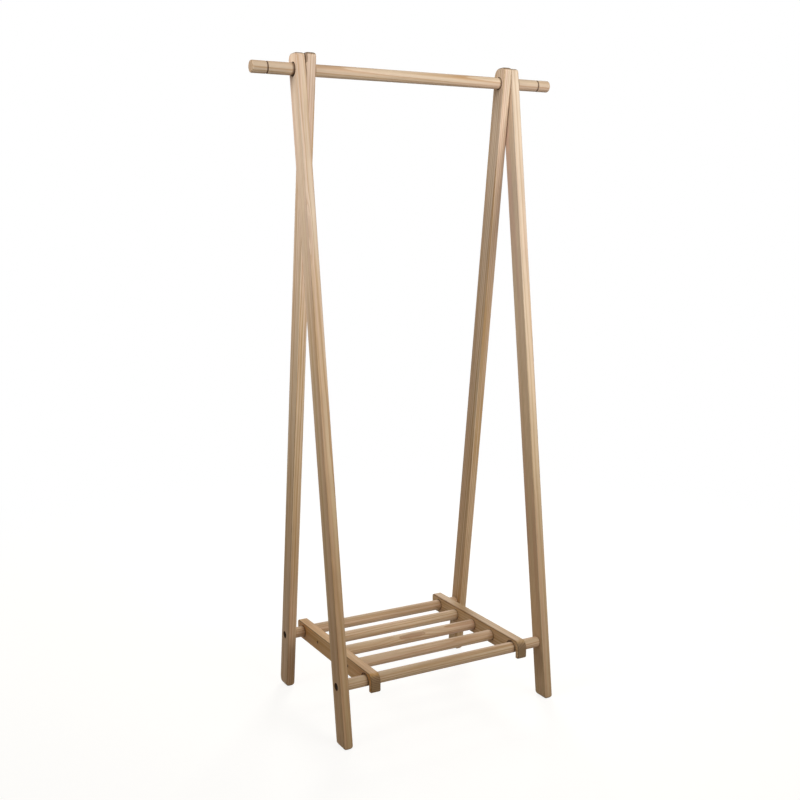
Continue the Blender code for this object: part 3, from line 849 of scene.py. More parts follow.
def make_growth_rings():
    """Year rings about a pith that lies beside the piece, so that each face shows its own cut."""
    inputs = {
        "Place": "Vector", "Pith": "Vector", "Slope": "Vector", "Ring Width": "Float",
        "Wander": "Float", "Swirl": "Float",
    }
    outputs = {"Late Wood": "Float", "Ring Tone": "Float"}
    tree, given, out = start_group("Growth rings", inputs, outputs)
    place = given["Place"]
    lean = scaled(tree, given["Slope"], parts_of(tree, place)[0])
    off = place_calc(tree, "SUBTRACT", place_calc(tree, "SUBTRACT", place, given["Pith"]), lean)
    distance = length_of(tree, place_calc(tree, "MULTIPLY", off, (0, 1, 1)))
    drift = times(tree, minus(tree, noise(tree, place, DRIFT_WAVES), 0.5), given["Wander"])
    ripple = minus(tree, noise(tree, place, RIPPLE_WAVES, detail=1.0), 0.5)
    ripple = plus(tree, times(tree, ripple, RIPPLE_DEPTH), given["Swirl"])
    radius = plus(tree, plus(tree, distance, drift), ripple)
    phase = calc(tree, "DIVIDE", radius, given["Ring Width"])
    within = calc(tree, "FRACT", phase)
    rise = calc(tree, "POWER", span(tree, within, *LATE_RISE), LATE_POWER)
    feed(out["Late Wood"], times(tree, rise, span(tree, within, *LATE_FALL)))
    tone = node(tree, "TexWhiteNoise", {"W": calc(tree, "FLOOR", phase)}, noise_dimensions="1D")
    feed(out["Ring Tone"], tone.outputs["Value"])


def make_fibres():
    """Long fibres and broad streaks along the grain."""
    outputs = {name: "Float" for name in FIBRE_NOISES}
    tree, given, out = start_group("Wood fibres", {"Place": "Vector"}, outputs)
    for name, (shift, waves, detail, roughness) in FIBRE_NOISES.items():
        place = place_calc(tree, "ADD", given["Place"], shift)
        feed(out[name], noise(tree, place, waves, detail, roughness))


def make_sawn_faces():
    """Masks of the sawn ends and of the rounded edges, from the way the surface faces."""
    outputs = {"End Grain": "Float", "Arris": "Float"}
    tree, given, out = start_group("Sawn faces", {"Normal": "Vector"}, outputs)
    parts = parts_of(tree, given["Normal"])
    feed(out["End Grain"], span(tree, calc(tree, "ABSOLUTE", parts[0]), *END_FACING))
    feed(out["Arris"], span(tree, slant(tree, parts[2]), *ARRIS_FACING))


def make_knot():
    """A knot cut lengthways: its heart, its dark rim, and how far it pushes the rings aside."""
    inputs = {"Place": "Vector", "Centre": "Vector", "Spread": "Vector", "Push": "Float"}
    outputs = {"Heart": "Float", "Rim": "Float", "Swirl": "Float"}
    tree, given, out = start_group("Knot", inputs, outputs)
    place = given["Place"]
    ragged = times(tree, minus(tree, noise(tree, place, KNOT_WAVES), 0.5), KNOT_RAGGED)
    off = place_calc(tree, "SUBTRACT", place, given["Centre"])
    distance = length_of(tree, place_calc(tree, "DIVIDE", off, given["Spread"]))
    distance = plus(tree, distance, ragged)
    feed(out["Heart"], span(tree, distance, *KNOT_HEART))
    rim = calc(tree, "ABSOLUTE", minus(tree, distance, 1.0))
    feed(out["Rim"], span(tree, rim, *KNOT_RIM))
    feed(out["Swirl"], times(tree, span(tree, distance, *KNOT_SWIRL), given["Push"]))


def make_foot_wear():
    """Scuffing where a foot stands on the floor, by the distance from the sole along the grain."""
    inputs = {"Place": "Vector", "Foot": "Float", "Reach": "Float"}
    tree, given, out = start_group("Foot wear", inputs, {"Scuff": "Float"})
    above = minus(tree, given["Foot"], parts_of(tree, given["Place"])[0])
    patches = noise(tree, given["Place"], SCUFF_WAVES, 3.0, 0.65)
    above = calc(tree, "DIVIDE", above, given["Reach"])
    near = calc(tree, "SUBTRACT", 1.0, above, clamp=True)
    feed(out["Scuff"], times(tree, near, span(tree, patches, *SCUFF_SPAN)))


def make_bore_shade():
    """Painted shade inside a hole and round its rim, where the hole's shadow falls, about an axis
    along Z.
    """
    inputs = {"Place": "Vector", "Centre": "Vector", "Radius": "Float", "Reach": "Float"}
    tree, given, out = start_group("Bore shade", inputs, {"Shade": "Float"})
    off = place_calc(tree, "SUBTRACT", given["Place"], given["Centre"])
    across = length_of(tree, place_calc(tree, "MULTIPLY", off, (1, 1, 0)))
    near = span(tree, across, plus(tree, given["Radius"], BORE_FADE), given["Radius"])
    deep = calc(tree, "ABSOLUTE", parts_of(tree, off)[2])
    inside = span(tree, deep, plus(tree, given["Reach"], DEPTH_FADE), given["Reach"])
    feed(out["Shade"], times(tree, near, inside))


def make_turned_shade():
    """Painted shade as a dark band round a dowel, in a groove or where it enters wood, the same at
    both ends; the rail's browner ends use it too.
    """
    inputs = {"Place": "Vector", "Middle": "Float", "Half": "Float"}
    tree, given, out = start_group("Turned shade", inputs, {"Shade": "Float"})
    along = calc(tree, "ABSOLUTE", parts_of(tree, given["Place"])[0])
    off = calc(tree, "ABSOLUTE", minus(tree, along, given["Middle"]))
    fade = [times(tree, given["Half"], share) for share in BAND_FADE]
    feed(out["Shade"], span(tree, off, *fade))


def make_painted_leg_shade():
    """Painted shade: a leg's wood grows darker and warmer from its upper end to its foot, where
    less light falls.
    """
    inputs = {"Place": "Vector", "Foot": "Float", "Most": "Float"}
    tree, given, out = start_group("Ripening", inputs, {"Ripeness": "Float"})
    along = calc(tree, "DIVIDE", parts_of(tree, given["Place"])[0], given["Foot"])
    feed(out["Ripeness"], times(tree, span(tree, along, *LEG_SHADE_SPAN), given["Most"]))


def make_metal_wear():
    """Fine turning marks, blotches and bright edges of small steel parts."""
    inputs = {"Place": "Vector", "Normal": "Vector"}
    outputs = {"Blotch": "Float", "Marks": "Float", "Edge": "Float"}
    tree, given, out = start_group("Metal wear", inputs, outputs)
    feed(out["Blotch"], noise(tree, given["Place"], BLOTCH_WAVES, 3.0, 0.6))
    parts = parts_of(tree, given["Place"])
    squares = [times(tree, part, part) for part in (parts[1], parts[2])]
    across = calc(tree, "SQRT", plus(tree, *squares))
    turned_place = node(tree, "CombineXYZ", {0: parts[0], 1: across, 2: 0.0}).outputs[0]
    feed(out["Marks"], noise(tree, turned_place, MARK_WAVES, detail=1.0))
    facing = parts_of(tree, given["Normal"])
    feed(out["Edge"], span(tree, slant(tree, facing[0]), *EDGE_FACING))


# Materials

WHITE = (1, 1, 1, 1)

# How far each piece's cut of the log lies from the last one's, along, across and through it
SEED_STEP = (1.37, 0.61, 0.29)

# Spans of the noises over which a tint sets in, or a tone goes from one weight to another
BLUSH_SPAN, HONEY_SPAN, RING_SPAN = (0.42, 0.68), (0.45, 0.72), (0.0, 1.0, 0.3)
FIBRE_TONE, STREAK_TONE = (0.25, 0.75, 0.93, 1.04), (0.3, 0.7, 1.04, 0.93)
MOTTLE_SPAN, MOTTLE_TONES = (0.25, 0.75), (0.94, 1.04)
SCUFF_SHADE = 0.35

# Roughness of the fibres, how much rougher sawn ends are and how much smoother late wood is
FIBRE_ROUGHNESS, END_ROUGHNESS, LATE_SMOOTHNESS = (0.2, 0.8, 0.50, 0.62), 0.18, 0.07

# Steel: what its rubbed edges and dull blotches make of its colour, and spans of the blotches
BRIGHT_GAIN, BRIGHT_LIFT, DULL_GAIN = 2.2, 0.06, 0.7
BLOTCH_SPAN, BLOTCH_ROUGH_SPAN, SMOOTHER, ROUGHER = (0.35, 0.7), (0.3, 0.7), 0.06, 0.1


def start_material(name):
    material = bpy.data.materials.new(name)
    material.use_nodes = True
    tree = material.node_tree
    return material, tree, tree.nodes["Principled BSDF"]


def tint(tree, colour, weight, finish, kind="MIX"):
    """Blend a colour toward one of the rack's finishes."""
    return blend(tree, weight, colour, tuple(getattr(colours(), finish)), kind)


def relief(tree, shader, strength, depth, height):
    bump = node(tree, "Bump", {"Strength": strength, "Distance": depth, "Height": height})
    feed(shader.inputs["Normal"], bump.outputs[0])


def pine(
    name, seed, pith, slope, tone=1.0, blush=0.35, honey=0.3, amber=0.0, late_share=0.85,
    ripe=0.0, knots=(), bores=(), bands=(), foot=None, end_shade=0.75, end_tone=1.0, arris=0.0,
):
    """Planed pine with its own cut of the log: pith beside the piece and slope of the grain.

    A knot is given by its centre, spread, push and weight, a bore of painted shade by its centre,
    radius, reach and weight, and a band of painted shade by its place from the middle, its half
    width and its weight.
    """
    finish = colours()
    material, tree, shader = start_material(name)
    coordinates = node(tree, "TexCoord").outputs
    place = coordinates["Object"]
    along, across, through = (seed * step for step in SEED_STEP)
    shifted = place_calc(tree, "ADD", place, (along, across, through))
    start = [share * seed * SEED_STEP[0] for share in slope]
    swirl, knot_marks = 0.0, []
    for centre, spread, push, weight in knots:
        feeds = {"Place": place, "Centre": centre, "Spread": spread, "Push": push}
        knot = use_group(tree, "Knot", feeds)
        swirl = plus(tree, swirl, knot["Swirl"])
        knot_marks += [times(tree, knot[mark], weight) for mark in ("Heart", "Rim")]
    rings = use_group(tree, "Growth rings", {
        "Place": shifted,
        "Pith": (along, pith[0] + across - start[0], pith[1] + through - start[1]),
        "Slope": (0.0, *slope),
        "Ring Width": finish.ring_width,
        "Wander": finish.ring_wander,
        "Swirl": swirl,
    })
    fibres = use_group(tree, "Wood fibres", {"Place": shifted})
    faces = use_group(tree, "Sawn faces", {"Normal": coordinates["Normal"]})
    ring_weight = span(tree, rings["Ring Tone"], *RING_SPAN, late_share)
    late = times(tree, rings["Late Wood"], ring_weight)
    colour = tint(tree, tuple(finish.pale_wood), late, "late_wood")
    blushed = times(tree, span(tree, fibres["Blush"], *BLUSH_SPAN), blush)
    colour = tint(tree, colour, blushed, "blush_wood")
    honeyed = span(tree, fibres["Streak"], *HONEY_SPAN, amber, honey)
    colour = tint(tree, colour, honeyed, "honey_wood")
    grain = span(tree, fibres["Fibre"], *FIBRE_TONE)
    mottle = span(
        tree, fibres["Mottle"], *MOTTLE_SPAN, *(tone * weight for weight in MOTTLE_TONES)
    )
    streak = span(tree, fibres["Streak"], *STREAK_TONE)
    colour = scaled(tree, colour, times(tree, times(tree, grain, mottle), streak))
    for mark in knot_marks:
        colour = tint(tree, colour, mark, "knot_wood")
    # On a leg, painted shade that deepens toward the foot; on other pieces, an even deeper tone
    if foot is not None:
        feeds = {"Place": place, "Foot": foot, "Most": ripe}
        ripe = use_group(tree, "Ripening", feeds)["Ripeness"]
    colour = tint(tree, colour, ripe, "ripe_and_shade_wood", "MULTIPLY")
    sawn = scaled(tree, tint(tree, tuple(finish.end_wood), late, "end_rings"), end_tone)
    colour = blend(tree, times(tree, faces["End Grain"], end_shade), colour, sawn)
    if arris:
        colour = tint(tree, colour, times(tree, faces["Arris"], arris), "arris_wood")
    # Painted shade: holes, grooves and the places where pieces meet are darkened toward the dark
    # shade wood
    shades = [("Bore shade", ("Centre", "Radius", "Reach"), bore) for bore in bores]
    shades += [("Turned shade", ("Middle", "Half"), band) for band in bands]
    for group, sockets, (*values, weight) in shades:
        feeds = {"Place": place, **dict(zip(sockets, values))}
        shade = times(tree, use_group(tree, group, feeds)["Shade"], weight)
        colour = tint(tree, colour, shade, "painted_shade_wood")
    if foot is not None:
        feeds = {"Place": place, "Foot": foot, "Reach": finish.scuff_height}
        scuff = times(tree, use_group(tree, "Foot wear", feeds)["Scuff"], SCUFF_SHADE)
        colour = tint(tree, colour, scuff, "end_wood")
    feed(shader.inputs["Base Color"], colour)
    rough = span(tree, fibres["Fibre"], *FIBRE_ROUGHNESS)
    rough = plus(tree, rough, times(tree, faces["End Grain"], END_ROUGHNESS))
    rough = minus(tree, rough, times(tree, late, LATE_SMOOTHNESS))
    feed(shader.inputs["Roughness"], rough)
    shader.inputs["Specular IOR Level"].default_value = 0.2
    height = plus(tree, times(tree, fibres["Fibre"], 0.5), times(tree, late, 0.5))
    relief(tree, shader, 0.35, finish.grain_depth, height)
    return material


def steel(name, colour, roughness, wear):
    """Small steel part: blotched plating, turning marks and rubbed edges."""
    material, tree, shader = start_material(name)
    coordinates = node(tree, "TexCoord").outputs
    feeds = {"Place": coordinates["Object"], "Normal": coordinates["Normal"]}
    marks = use_group(tree, "Metal wear", feeds)
    bright = [min(1.0, channel * BRIGHT_GAIN + BRIGHT_LIFT) for channel in colour[:3]]
    dull = [channel * DULL_GAIN for channel in colour[:3]]
    blotch = span(tree, marks["Blotch"], *BLOTCH_SPAN)
    tinted = blend(tree, blotch, tuple(colour), (*dull, 1.0))
    tinted = blend(tree, times(tree, marks["Edge"], wear), tinted, (*bright, 1.0))
    feed(shader.inputs["Base Color"], tinted)
    shader.inputs["Metallic"].default_value = 1.0
    between = (roughness - SMOOTHER, roughness + ROUGHER)
    feed(shader.inputs["Roughness"], span(tree, marks["Blotch"], *BLOTCH_ROUGH_SPAN, *between))
    relief(tree, shader, 0.25, colours().turning_depth, marks["Marks"])
    return material


# Operators


class RACK_OT_effects(bpy.types.Operator):
    """Make the node groups for grain, sawn faces, knots, wear and painted shade"""

    bl_idname = "rack.effects"
    bl_label = "Wood and Metal Effects"

    def execute(self, context):
        make_growth_rings()
        make_fibres()
        make_sawn_faces()
        make_knot()
        make_foot_wear()
        make_bore_shade()
        make_turned_shade()
        make_painted_leg_shade()
        make_metal_wear()
        return {"FINISHED"}


class RACK_OT_rail(bpy.types.Operator):
    """Turn the top rail, with rounded ends and a groove near each end"""

    bl_idname = "rack.rail"
    bl_label = "Top Rail"

    # Weight of the painted shade in a groove, half width and weight of the painted shade at a leg's
    # inner and outer face, and the place from the rail's end, half width and weight of the browner
    # ends
    GROOVE_SHADE = 0.75
    INNER_FACE, OUTER_FACE = (0.0042, 0.5), (0.0055, 0.7)
    BROWN_PLACE, BROWN_SHADE = 0.046, (0.07, 0.12)

    def execute(self, context):
        sizes = shape()
        centre, half_length, radius = axis_of("top_rail")
        matrix = Matrix.Translation(centre)
        profile = rail_profile(half_length, radius)
        rail = turned("top_rail_dowel", profile, sizes.dowel_sides, matrix)
        bands = [
            (half_length - sizes.groove_inset, sizes.groove_width / 2, self.GROOVE_SHADE),
            (half_length - self.BROWN_PLACE, *self.BROWN_SHADE),
        ]
        for pair in PAIRS:
            low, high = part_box(pair + "_leg_right")
            bands += [(low.x, *self.INNER_FACE), (high.x, *self.OUTER_FACE)]
        wood = pine(
            "Pine rail", 1, (0.034, -0.022), (0.012, -0.008), tone=0.95, blush=0.4, ripe=0.25,
            bands=bands, end_shade=0.5,
        )
        holes = [rail_screw_sinking(side) for side, _ in SIDES]
        finish_piece(rail, holes, matrix, "top_rail", wood)
        return {"FINISHED"}


class RACK_OT_legs(bpy.types.Operator):
    """Plane and bore the front and rear legs"""

    bl_idname = "rack.legs"
    bl_label = "Legs"

    # In each leg's cut, the weight of the deeper tone is the painted shade it reaches at the foot
    CUTS = {
        ("front", "left"): {
            "pith": (0.052, 0.030), "slope": (0.006, 0.004), "blush": 0.55, "honey": 0.55,
            "late_share": 0.7, "ripe": 1.0,
            "knots": (((0.361, -0.0215, -0.007), (0.030, 0.0042, 0.0032), 0.006, 0.16),),
        },
        ("front", "right"): {
            "pith": (-0.061, 0.022), "slope": (-0.005, 0.003), "blush": 0.75, "honey": 0.15,
            "late_share": 0.5, "ripe": 0.8,
        },
        ("rear", "left"): {
            "pith": (0.024, -0.058), "slope": (0.004, -0.006), "blush": 0.45, "honey": 0.85,
            "late_share": 0.9, "ripe": 0.75,
        },
        ("rear", "right"): {
            "pith": (-0.034, -0.047), "slope": (0.005, 0.006), "blush": 0.30, "honey": 0.80,
            "late_share": 1.0, "ripe": 0.75,
        },
    }

    # Painted shade between two legs above the rail, where one shadows the other: place along the
    # leg, then radius, depth and weight
    MEETING_PLACE, MEETING_SHADE = -0.045, (0.034, 0.002, 0.6)

    def execute(self, context):
        for seed, ((pair, side), cut) in enumerate(self.CUTS.items(), start=2):
            self.build(pair, side, dict(SIDES)[side], seed, cut)
        return {"FINISHED"}

    def build(self, pair, side, sign, seed, cut):
        sizes = shape()
        name = f"{pair}_leg_{side}"
        low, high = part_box(name)
        middle, thickness = self.middle_of(name), high.x - low.x
        rail, bar = axis_of("top_rail")[0], axis_of(pair + "_crossbar")[0]
        above, below = high.z - rail.z, rail.z - low.z
        lean = leg_lean(pair)
        place = Vector((sign * middle, rail.y, rail.z))
        radii = [getattr(sizes, f"{pair}_{corner}") for corner in ("toe", "heel", "back", "brow")]
        leg = planed_leg(name + "_board", place, lean, thickness, above, below, radii)
        along = Vector((0, -math.sin(lean), -math.cos(lean)))
        through = Vector((1, 0, 0))
        axes = Matrix((along, through.cross(along), through)).transposed().to_4x4()
        other = self.middle_of(f"{'rear' if pair == 'front' else 'front'}_leg_{side}")
        meeting = (sign if middle < other else -sign) * thickness / 2
        # Painted shade in the rail hole, in the bolt's sinking and where the two legs meet
        bores = (
            ((0, 0, 0), rail_hole_radius(pair), thickness, BORE_SHADE),
            (((rail.z - bar.z) / math.cos(lean), 0, 0), sizes.bolt_recess, thickness, BORE_SHADE),
            ((self.MEETING_PLACE, 0, meeting), *self.MEETING_SHADE),
        )
        wood = pine(
            f"Pine {pair} leg {side}", seed, bores=bores, foot=below / math.cos(lean),
            end_shade=1.0, end_tone=0.55, arris=0.3, **cut,
        )
        holes = leg_bores(pair, side, sign, place, middle, thickness)
        finish_piece(leg, holes, Matrix.Translation(place) @ axes, name, wood)

    def middle_of(self, name):
        """Distance of a leg's middle from the rack's middle."""
        low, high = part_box(name)
        return abs(low.x + high.x) / 2


class RACK_OT_crossbars(bpy.types.Operator):
    """Turn the two crossbars and bore their ends"""

    bl_idname = "rack.crossbars"
    bl_label = "Crossbars"

    CUTS = {
        "rear": (7, (0.030, 0.026), (0.010, -0.012)),
        "front": (8, (-0.024, 0.036), (-0.012, 0.006)),
    }

    def execute(self, context):
        for pair, cut in self.CUTS.items():
            name = pair + "_crossbar"
            centre, half_length, radius = axis_of(name)
            matrix = Matrix.Translation(centre)
            profile = dowel_profile(half_length, radius)
            bar = turned(name + "_dowel", profile, shape().dowel_sides, matrix)
            # Painted shade where the bar enters the legs and the shelf sides
            faces = (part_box(pair + "_leg_right")[0], *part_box("shelf_side_right"))
            bands = [(face.x, *ENTRY_SHADE) for face in faces]
            wood = pine(f"Pine {pair} crossbar", *cut, tone=1.02, honey=0.5, ripe=0.6, bands=bands)
            holes = [self.pocket(centre, half_length, sign) for _, sign in SIDES]
            finish_piece(bar, holes, matrix, name, wood)
        return {"FINISHED"}

    def pocket(self, centre, half_length, sign):
        """Stepped hole for an insert and the bolt's tip."""
        gap = shape().seat_gap
        profile = sinking_profile(
            0, INSERT_LENGTH + gap, BOLT_HOLE_DEPTH, INSERT_RADIUS + gap, BOLT_SHANK + gap,
            POCKET_CHAMFER,
        )
        place = Vector((sign * half_length, 0, 0)) + centre
        return turned("insert pocket", profile, shape().metal_sides, toward_middle(sign, place))


class RACK_OT_shelf_sides(bpy.types.Operator):
    """Saw the two shelf sides, with the hook that drops over the front crossbar"""

    bl_idname = "rack.shelf_sides"
    bl_label = "Shelf Sides"

    CUTS = {
        "left": {
            "seed": 9, "pith": (0.044, 0.020), "slope": (0.010, 0.004), "tone": 1.14,
            "amber": 0.6, "honey": 1.0,
        },
        "right": {
            "seed": 10, "pith": (-0.036, 0.030), "slope": (0.008, 0.010), "tone": 1.02,
            "amber": 0.1, "honey": 0.7,
        },
    }
    # Radius of the painted shade in a screw's sinking
    SCREW_SHADE_RADIUS = 0.0028

    def execute(self, context):
        outline = shelf_outline()
        axes = Matrix(((0, 0, 1), (1, 0, 0), (0, 1, 0))).to_4x4()
        for side, sign in SIDES:
            name = "shelf_side_" + side
            low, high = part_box(name)
            centre = (low + high) / 2
            inner, outer = sorted((abs(low.x), abs(high.x)))
            board = sawn_board(name + "_board", outline, sign * inner, sign * outer)
            wood = pine(
                f"Pine shelf side {side}", late_share=0.9, ripe=0.9, end_shade=0.85, end_tone=0.75,
                arris=0.7, bores=self.shades(centre, sign, (outer - inner) / 2), **self.CUTS[side],
            )
            holes = shelf_side_bores(side, sign, inner, outer)
            matrix = Matrix.Translation(centre) @ axes
            finish_piece(board, holes, matrix, name, wood)
        return {"FINISHED"}

    def shades(self, centre, sign, half):
        """Painted shade in the pivot hole, slat sockets and screw sinkings, in the board's own
        axes.
        """
        pivot, _, radius = axis_of("rear_crossbar")
        radius += shape().pivot_space
        found = [((pivot.y - centre.y, pivot.z - centre.z, 0), radius, half * 2, BORE_SHADE)]
        for slat in SLATS:
            place, _, radius = axis_of("slat_" + slat)
            y, z = place.y - centre.y, place.z - centre.z
            found.append(((y, z, -sign * half), radius, half, BORE_SHADE))
            found.append(((y, z, sign * half), self.SCREW_SHADE_RADIUS, half, BORE_SHADE))
        return found


class RACK_OT_slats(bpy.types.Operator):
    """Turn the three slats of the shelf"""

    bl_idname = "rack.slats"
    bl_label = "Shelf Slats"

    CUTS = {
        "rear": {"pith": (0.032, 0.020), "slope": (0.010, 0.008), "blush": 0.3, "honey": 0.5},
        "middle": {
            "pith": (-0.020, 0.030), "slope": (0.006, -0.010), "blush": 0.85,
            "knots": (((0.004, -0.012, 0.010), (0.040, 0.0070, 0.0080), 0.006, 0.4),),
        },
        "front": {"pith": (0.026, -0.028), "slope": (-0.010, 0.010), "blush": 0.3, "honey": 0.5},
    }

    def execute(self, context):
        # Painted shade where a slat enters a shelf side
        bands = ((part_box("shelf_side_right")[0].x, *ENTRY_SHADE),)
        for seed, slat in enumerate(SLATS, start=12):
            name = "slat_" + slat
            centre, half_length, radius = axis_of(name)
            matrix = Matrix.Translation(centre)
            profile = dowel_profile(half_length, radius)
            dowel = turned(name + "_dowel", profile, shape().dowel_sides, matrix)
            cut = self.CUTS[slat]
            wood = pine(f"Pine slat {slat}", seed, tone=1.06, ripe=0.5, bands=bands, **cut)
            holes = [self.screw_hole(slat, side, sign) for side, sign in SIDES]
            finish_piece(dowel, holes, matrix, name, wood)
        return {"FINISHED"}

    def screw_hole(self, slat, side, sign):
        low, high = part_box(f"slat_screw_{slat}_{side}")
        centre, half_length, _ = axis_of("slat_" + slat)
        tip = min(abs(low.x), abs(high.x)) - shape().seat_gap
        depth, radius = half_length - tip, SLAT_SCREW.hole
        profile = [(-OVERRUN, 0), (-OVERRUN, radius), (depth, radius), (depth, 0)]
        place = Vector((sign * half_length, centre.y, centre.z))
        return turned("screw hole", profile, shape().metal_sides, toward_middle(sign, place))


class RACK_OT_bolts(bpy.types.Operator):
    """Make the four crossbar bolts, with crowned heads and hexagon sockets"""

    bl_idname = "rack.bolts"
    bl_label = "Crossbar Bolts"

    def execute(self, context):
        head = shape().bolt_head
        metal = steel("Blackened bolt steel", colours().bolt_steel, roughness=0.42, wear=0.5)
        start, end = -head - OVERRUN, SOCKET_DEPTH - head
        socket = [(start, 0), (start, SOCKET_RADIUS), (end, SOCKET_RADIUS * SOCKET_TAPER), (end, 0)]
        for pair in PAIRS:
            for side, sign in SIDES:
                name = f"{pair}_bolt_{side}"
                _, half_length, radius = axis_of(name)
                length = half_length * 2 - head
                profile = threaded_profile(head, radius, BOLT_SHANK, length, BOLT_CROWN)
                matrix = fastening_frame(name, sign, head)
                bolt = turned(name + "_steel", profile, shape().metal_sides, matrix)
                holes = [turned("hexagon socket", socket, 6, matrix)]
                finish_piece(bolt, holes, matrix, name, metal)
        return {"FINISHED"}


class RACK_OT_screws(bpy.types.Operator):
    """Make the screws of the rail and the slats, with cross recesses"""

    bl_idname = "rack.screws"
    bl_label = "Screws"

    def execute(self, context):
        finish = colours()
        plated = steel("Plated screw steel", finish.rail_screw_steel, roughness=0.34, wear=0.3)
        black = steel("Blackened screw steel", finish.screw_steel, roughness=0.45, wear=0.5)
        for side, sign in SIDES:
            self.build("rail_screw_" + side, rail_screw_frame(side), RAIL_SCREW, plated)
            for slat in SLATS:
                name = f"slat_screw_{slat}_{side}"
                matrix = fastening_frame(name, sign, SLAT_SCREW.head)
                self.build(name, matrix, SLAT_SCREW, black)
        return {"FINISHED"}

    def build(self, name, matrix, kind, metal):
        crown = kind.head * SCREW_CROWN
        profile = threaded_profile(kind.head, kind.head_radius, kind.radius, kind.length, crown)
        screw = turned(name + "_steel", profile, SCREW_SIDES, matrix)
        holes = cross_recess(matrix, kind.head, kind.head_radius)
        finish_piece(screw, holes, matrix, name, metal)


class RACK_OT_inserts(bpy.types.Operator):
    """Give the threaded inserts their metal"""

    bl_idname = "rack.inserts"
    bl_label = "Threaded Inserts"

    def execute(self, context):
        metal = steel("Insert metal", colours().insert_metal, roughness=0.36, wear=0.4)
        for pair in PAIRS:
            for side, _ in SIDES:
                insert = frame["nodes"][f"{pair}_insert_{side}"]
                insert.data.materials.clear()
                insert.data.materials.append(metal)
        return {"FINISHED"}


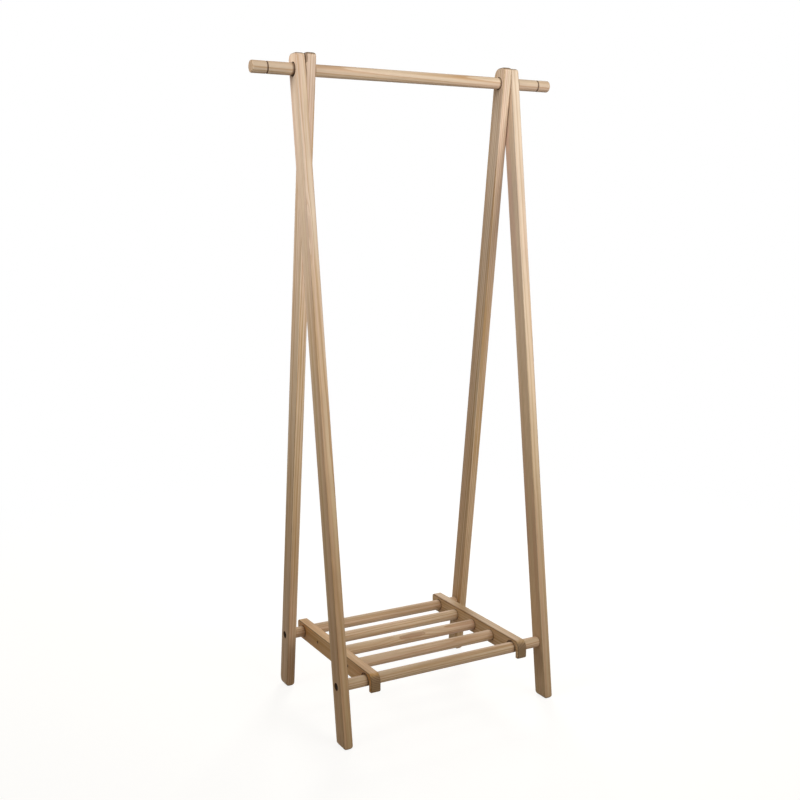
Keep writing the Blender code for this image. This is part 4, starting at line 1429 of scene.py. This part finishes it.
class RACK_OT_stage(bpy.types.Operator):
    """Set up the camera, the softboxes, the floor and the white surroundings"""

    bl_idname = "rack.stage"
    bl_label = "Studio"

    # Side of each square softbox, where it stands and what it is aimed at
    SOFTBOXES = {
        "left": (0.9, (-1.8, -0.25, 1.95), (0, 0, 1.45)),
        "front": (1.8, (0.9, -2.2, 1.7), (0.3, 0, 1.45)),
        "rear": (0.9, (1.5, 2.3, 1.9), (0, 0, 1)),
    }

    # Steps round the floor, and between which distances it fades into the surroundings
    FLOOR_SIDES = 96
    FLOOR_FADE = (0.9, 2.6)

    def execute(self, context):
        scene = context.scene
        scene.view_settings.view_transform = "Standard"
        self.add_camera(scene)
        self.add_floor(scene.rack_stage)
        self.add_surroundings(scene)
        for name, (size, place, aim) in self.SOFTBOXES.items():
            self.add_softbox(scene, name, size, place, aim)
        return {"FINISHED"}

    def add_camera(self, scene):
        stage = scene.rack_stage
        data = bpy.data.cameras.new("camera")
        data.sensor_width = 36.0
        data.lens = stage.lens
        data.shift_x = stage.shift_x
        data.shift_y = stage.shift_y
        camera = bpy.data.objects.new("camera", data)
        camera.location = stage.camera_place
        tilt = Matrix.Rotation(math.pi / 2 - stage.camera_pitch, 3, "X")
        turn = Matrix.Rotation(-stage.camera_yaw, 3, "Z")
        roll = Matrix.Rotation(stage.camera_roll, 3, "Z")
        camera.rotation_euler = (turn @ tilt @ roll).to_euler()
        scene.collection.objects.link(camera)
        scene.camera = camera

    def add_softbox(self, scene, name, size, place, aim):
        """Square lamp with a grid, aimed at a place on the rack, and not seen itself."""
        stage = scene.rack_stage
        data = bpy.data.lights.new(name + " softbox", "AREA")
        data.shape = "SQUARE"
        data.size = size
        data.energy = getattr(stage, name + "_power")
        data.spread = getattr(stage, name + "_spread")
        data.color = stage.lamp_colour
        lamp = bpy.data.objects.new(name + " softbox", data)
        lamp.visible_camera = False
        lamp.location = place
        lamp.rotation_euler = (Vector(aim) - Vector(place)).to_track_quat("-Z", "Y").to_euler()
        scene.collection.objects.link(lamp)

    def add_floor(self, stage):
        """Flat disc that fades into the white surroundings."""
        bm = bmesh.new()
        sides, radius = self.FLOOR_SIDES, stage.floor_radius
        bmesh.ops.create_circle(bm, cap_ends=True, segments=sides, radius=radius)
        floor = new_piece("floor", bm)
        material, tree, shader = start_material("Studio floor")
        place = node(tree, "TexCoord").outputs["Object"]
        away = span(tree, length_of(tree, place), *self.FLOOR_FADE)
        speckle = noise(tree, place, SPECKLE_WAVES, 3.0)
        pale = blend(tree, speckle, tuple(stage.floor_colour), tuple(stage.floor_speckle))
        feed(shader.inputs["Base Color"], pale)
        shader.inputs["Roughness"].default_value = 0.8
        shader.inputs["Specular IOR Level"].default_value = 0.0
        seen = self.seen_rays(tree)
        lift = times(tree, seen, stage.floor_glow)
        glow = node(tree, "Emission", {"Color": WHITE, "Strength": lift}).outputs[0]
        white = node(tree, "Emission", {"Color": WHITE, "Strength": seen}).outputs[0]
        lit = node(tree, "AddShader", {0: shader.outputs[0], 1: glow}).outputs[0]
        mixed = node(tree, "MixShader", {0: away, 1: lit, 2: white}).outputs[0]
        feed(tree.nodes["Material Output"].inputs["Surface"], mixed)
        floor.data.materials.append(material)

    def seen_rays(self, tree):
        """One where the surroundings are seen directly, in metal or through glass."""
        rays = node(tree, "LightPath").outputs
        direct = calc(tree, "MAXIMUM", rays["Is Camera Ray"], rays["Is Glossy Ray"])
        return calc(tree, "MAXIMUM", direct, rays["Is Transmission Ray"])

    def add_surroundings(self, scene):
        stage = scene.rack_stage
        world = bpy.data.worlds.new("surroundings")
        world.use_nodes = True
        scene.world = world
        tree = world.node_tree
        seen = self.seen_rays(tree)
        background = tree.nodes["Background"]
        feed(background.inputs["Color"], blend(tree, seen, tuple(stage.room_colour), WHITE))
        feed(background.inputs["Strength"], calc(tree, "MAXIMUM", seen, stage.sky_strength))


BUILD_ORDER = (
    RACK_OT_effects,
    RACK_OT_rail,
    RACK_OT_legs,
    RACK_OT_crossbars,
    RACK_OT_shelf_sides,
    RACK_OT_slats,
    RACK_OT_bolts,
    RACK_OT_screws,
    RACK_OT_inserts,
    RACK_OT_stage,
)


class RACK_PT_panel(bpy.types.Panel):
    """Sizes, finishes and build steps of the rack"""

    bl_idname = "RACK_PT_panel"
    bl_label = "Clothes Rack"
    bl_space_type = "VIEW_3D"
    bl_region_type = "UI"
    bl_category = "Clothes Rack"

    def draw(self, context):
        layout = self.layout
        for operator in BUILD_ORDER:
            layout.operator(operator.bl_idname)
        for name, _ in GROUPS:
            settings = getattr(context.scene, name)
            box = layout.box()
            for setting in settings.__annotations__:
                box.prop(settings, setting)


GROUPS = (("rack_shape", RackShape), ("rack_finish", RackFinish), ("rack_stage", RackStage))


def register():
    for name, group in GROUPS:
        bpy.utils.register_class(group)
        setattr(bpy.types.Scene, name, PointerProperty(type=group))
    for operator in BUILD_ORDER:
        bpy.utils.register_class(operator)
    bpy.utils.register_class(RACK_PT_panel)


def unregister():
    bpy.utils.unregister_class(RACK_PT_panel)
    for operator in reversed(BUILD_ORDER):
        bpy.utils.unregister_class(operator)
    for name, group in reversed(GROUPS):
        delattr(bpy.types.Scene, name)
        bpy.utils.unregister_class(group)


def main():
    """Build every piece in order."""
    register()
    for operator in BUILD_ORDER:
        family, step = operator.bl_idname.split(".")
        if getattr(getattr(bpy.ops, family), step)() != {"FINISHED"}:
            raise RuntimeError(operator.bl_label + " didn't finish")


if __name__ == "__main__":
    main()
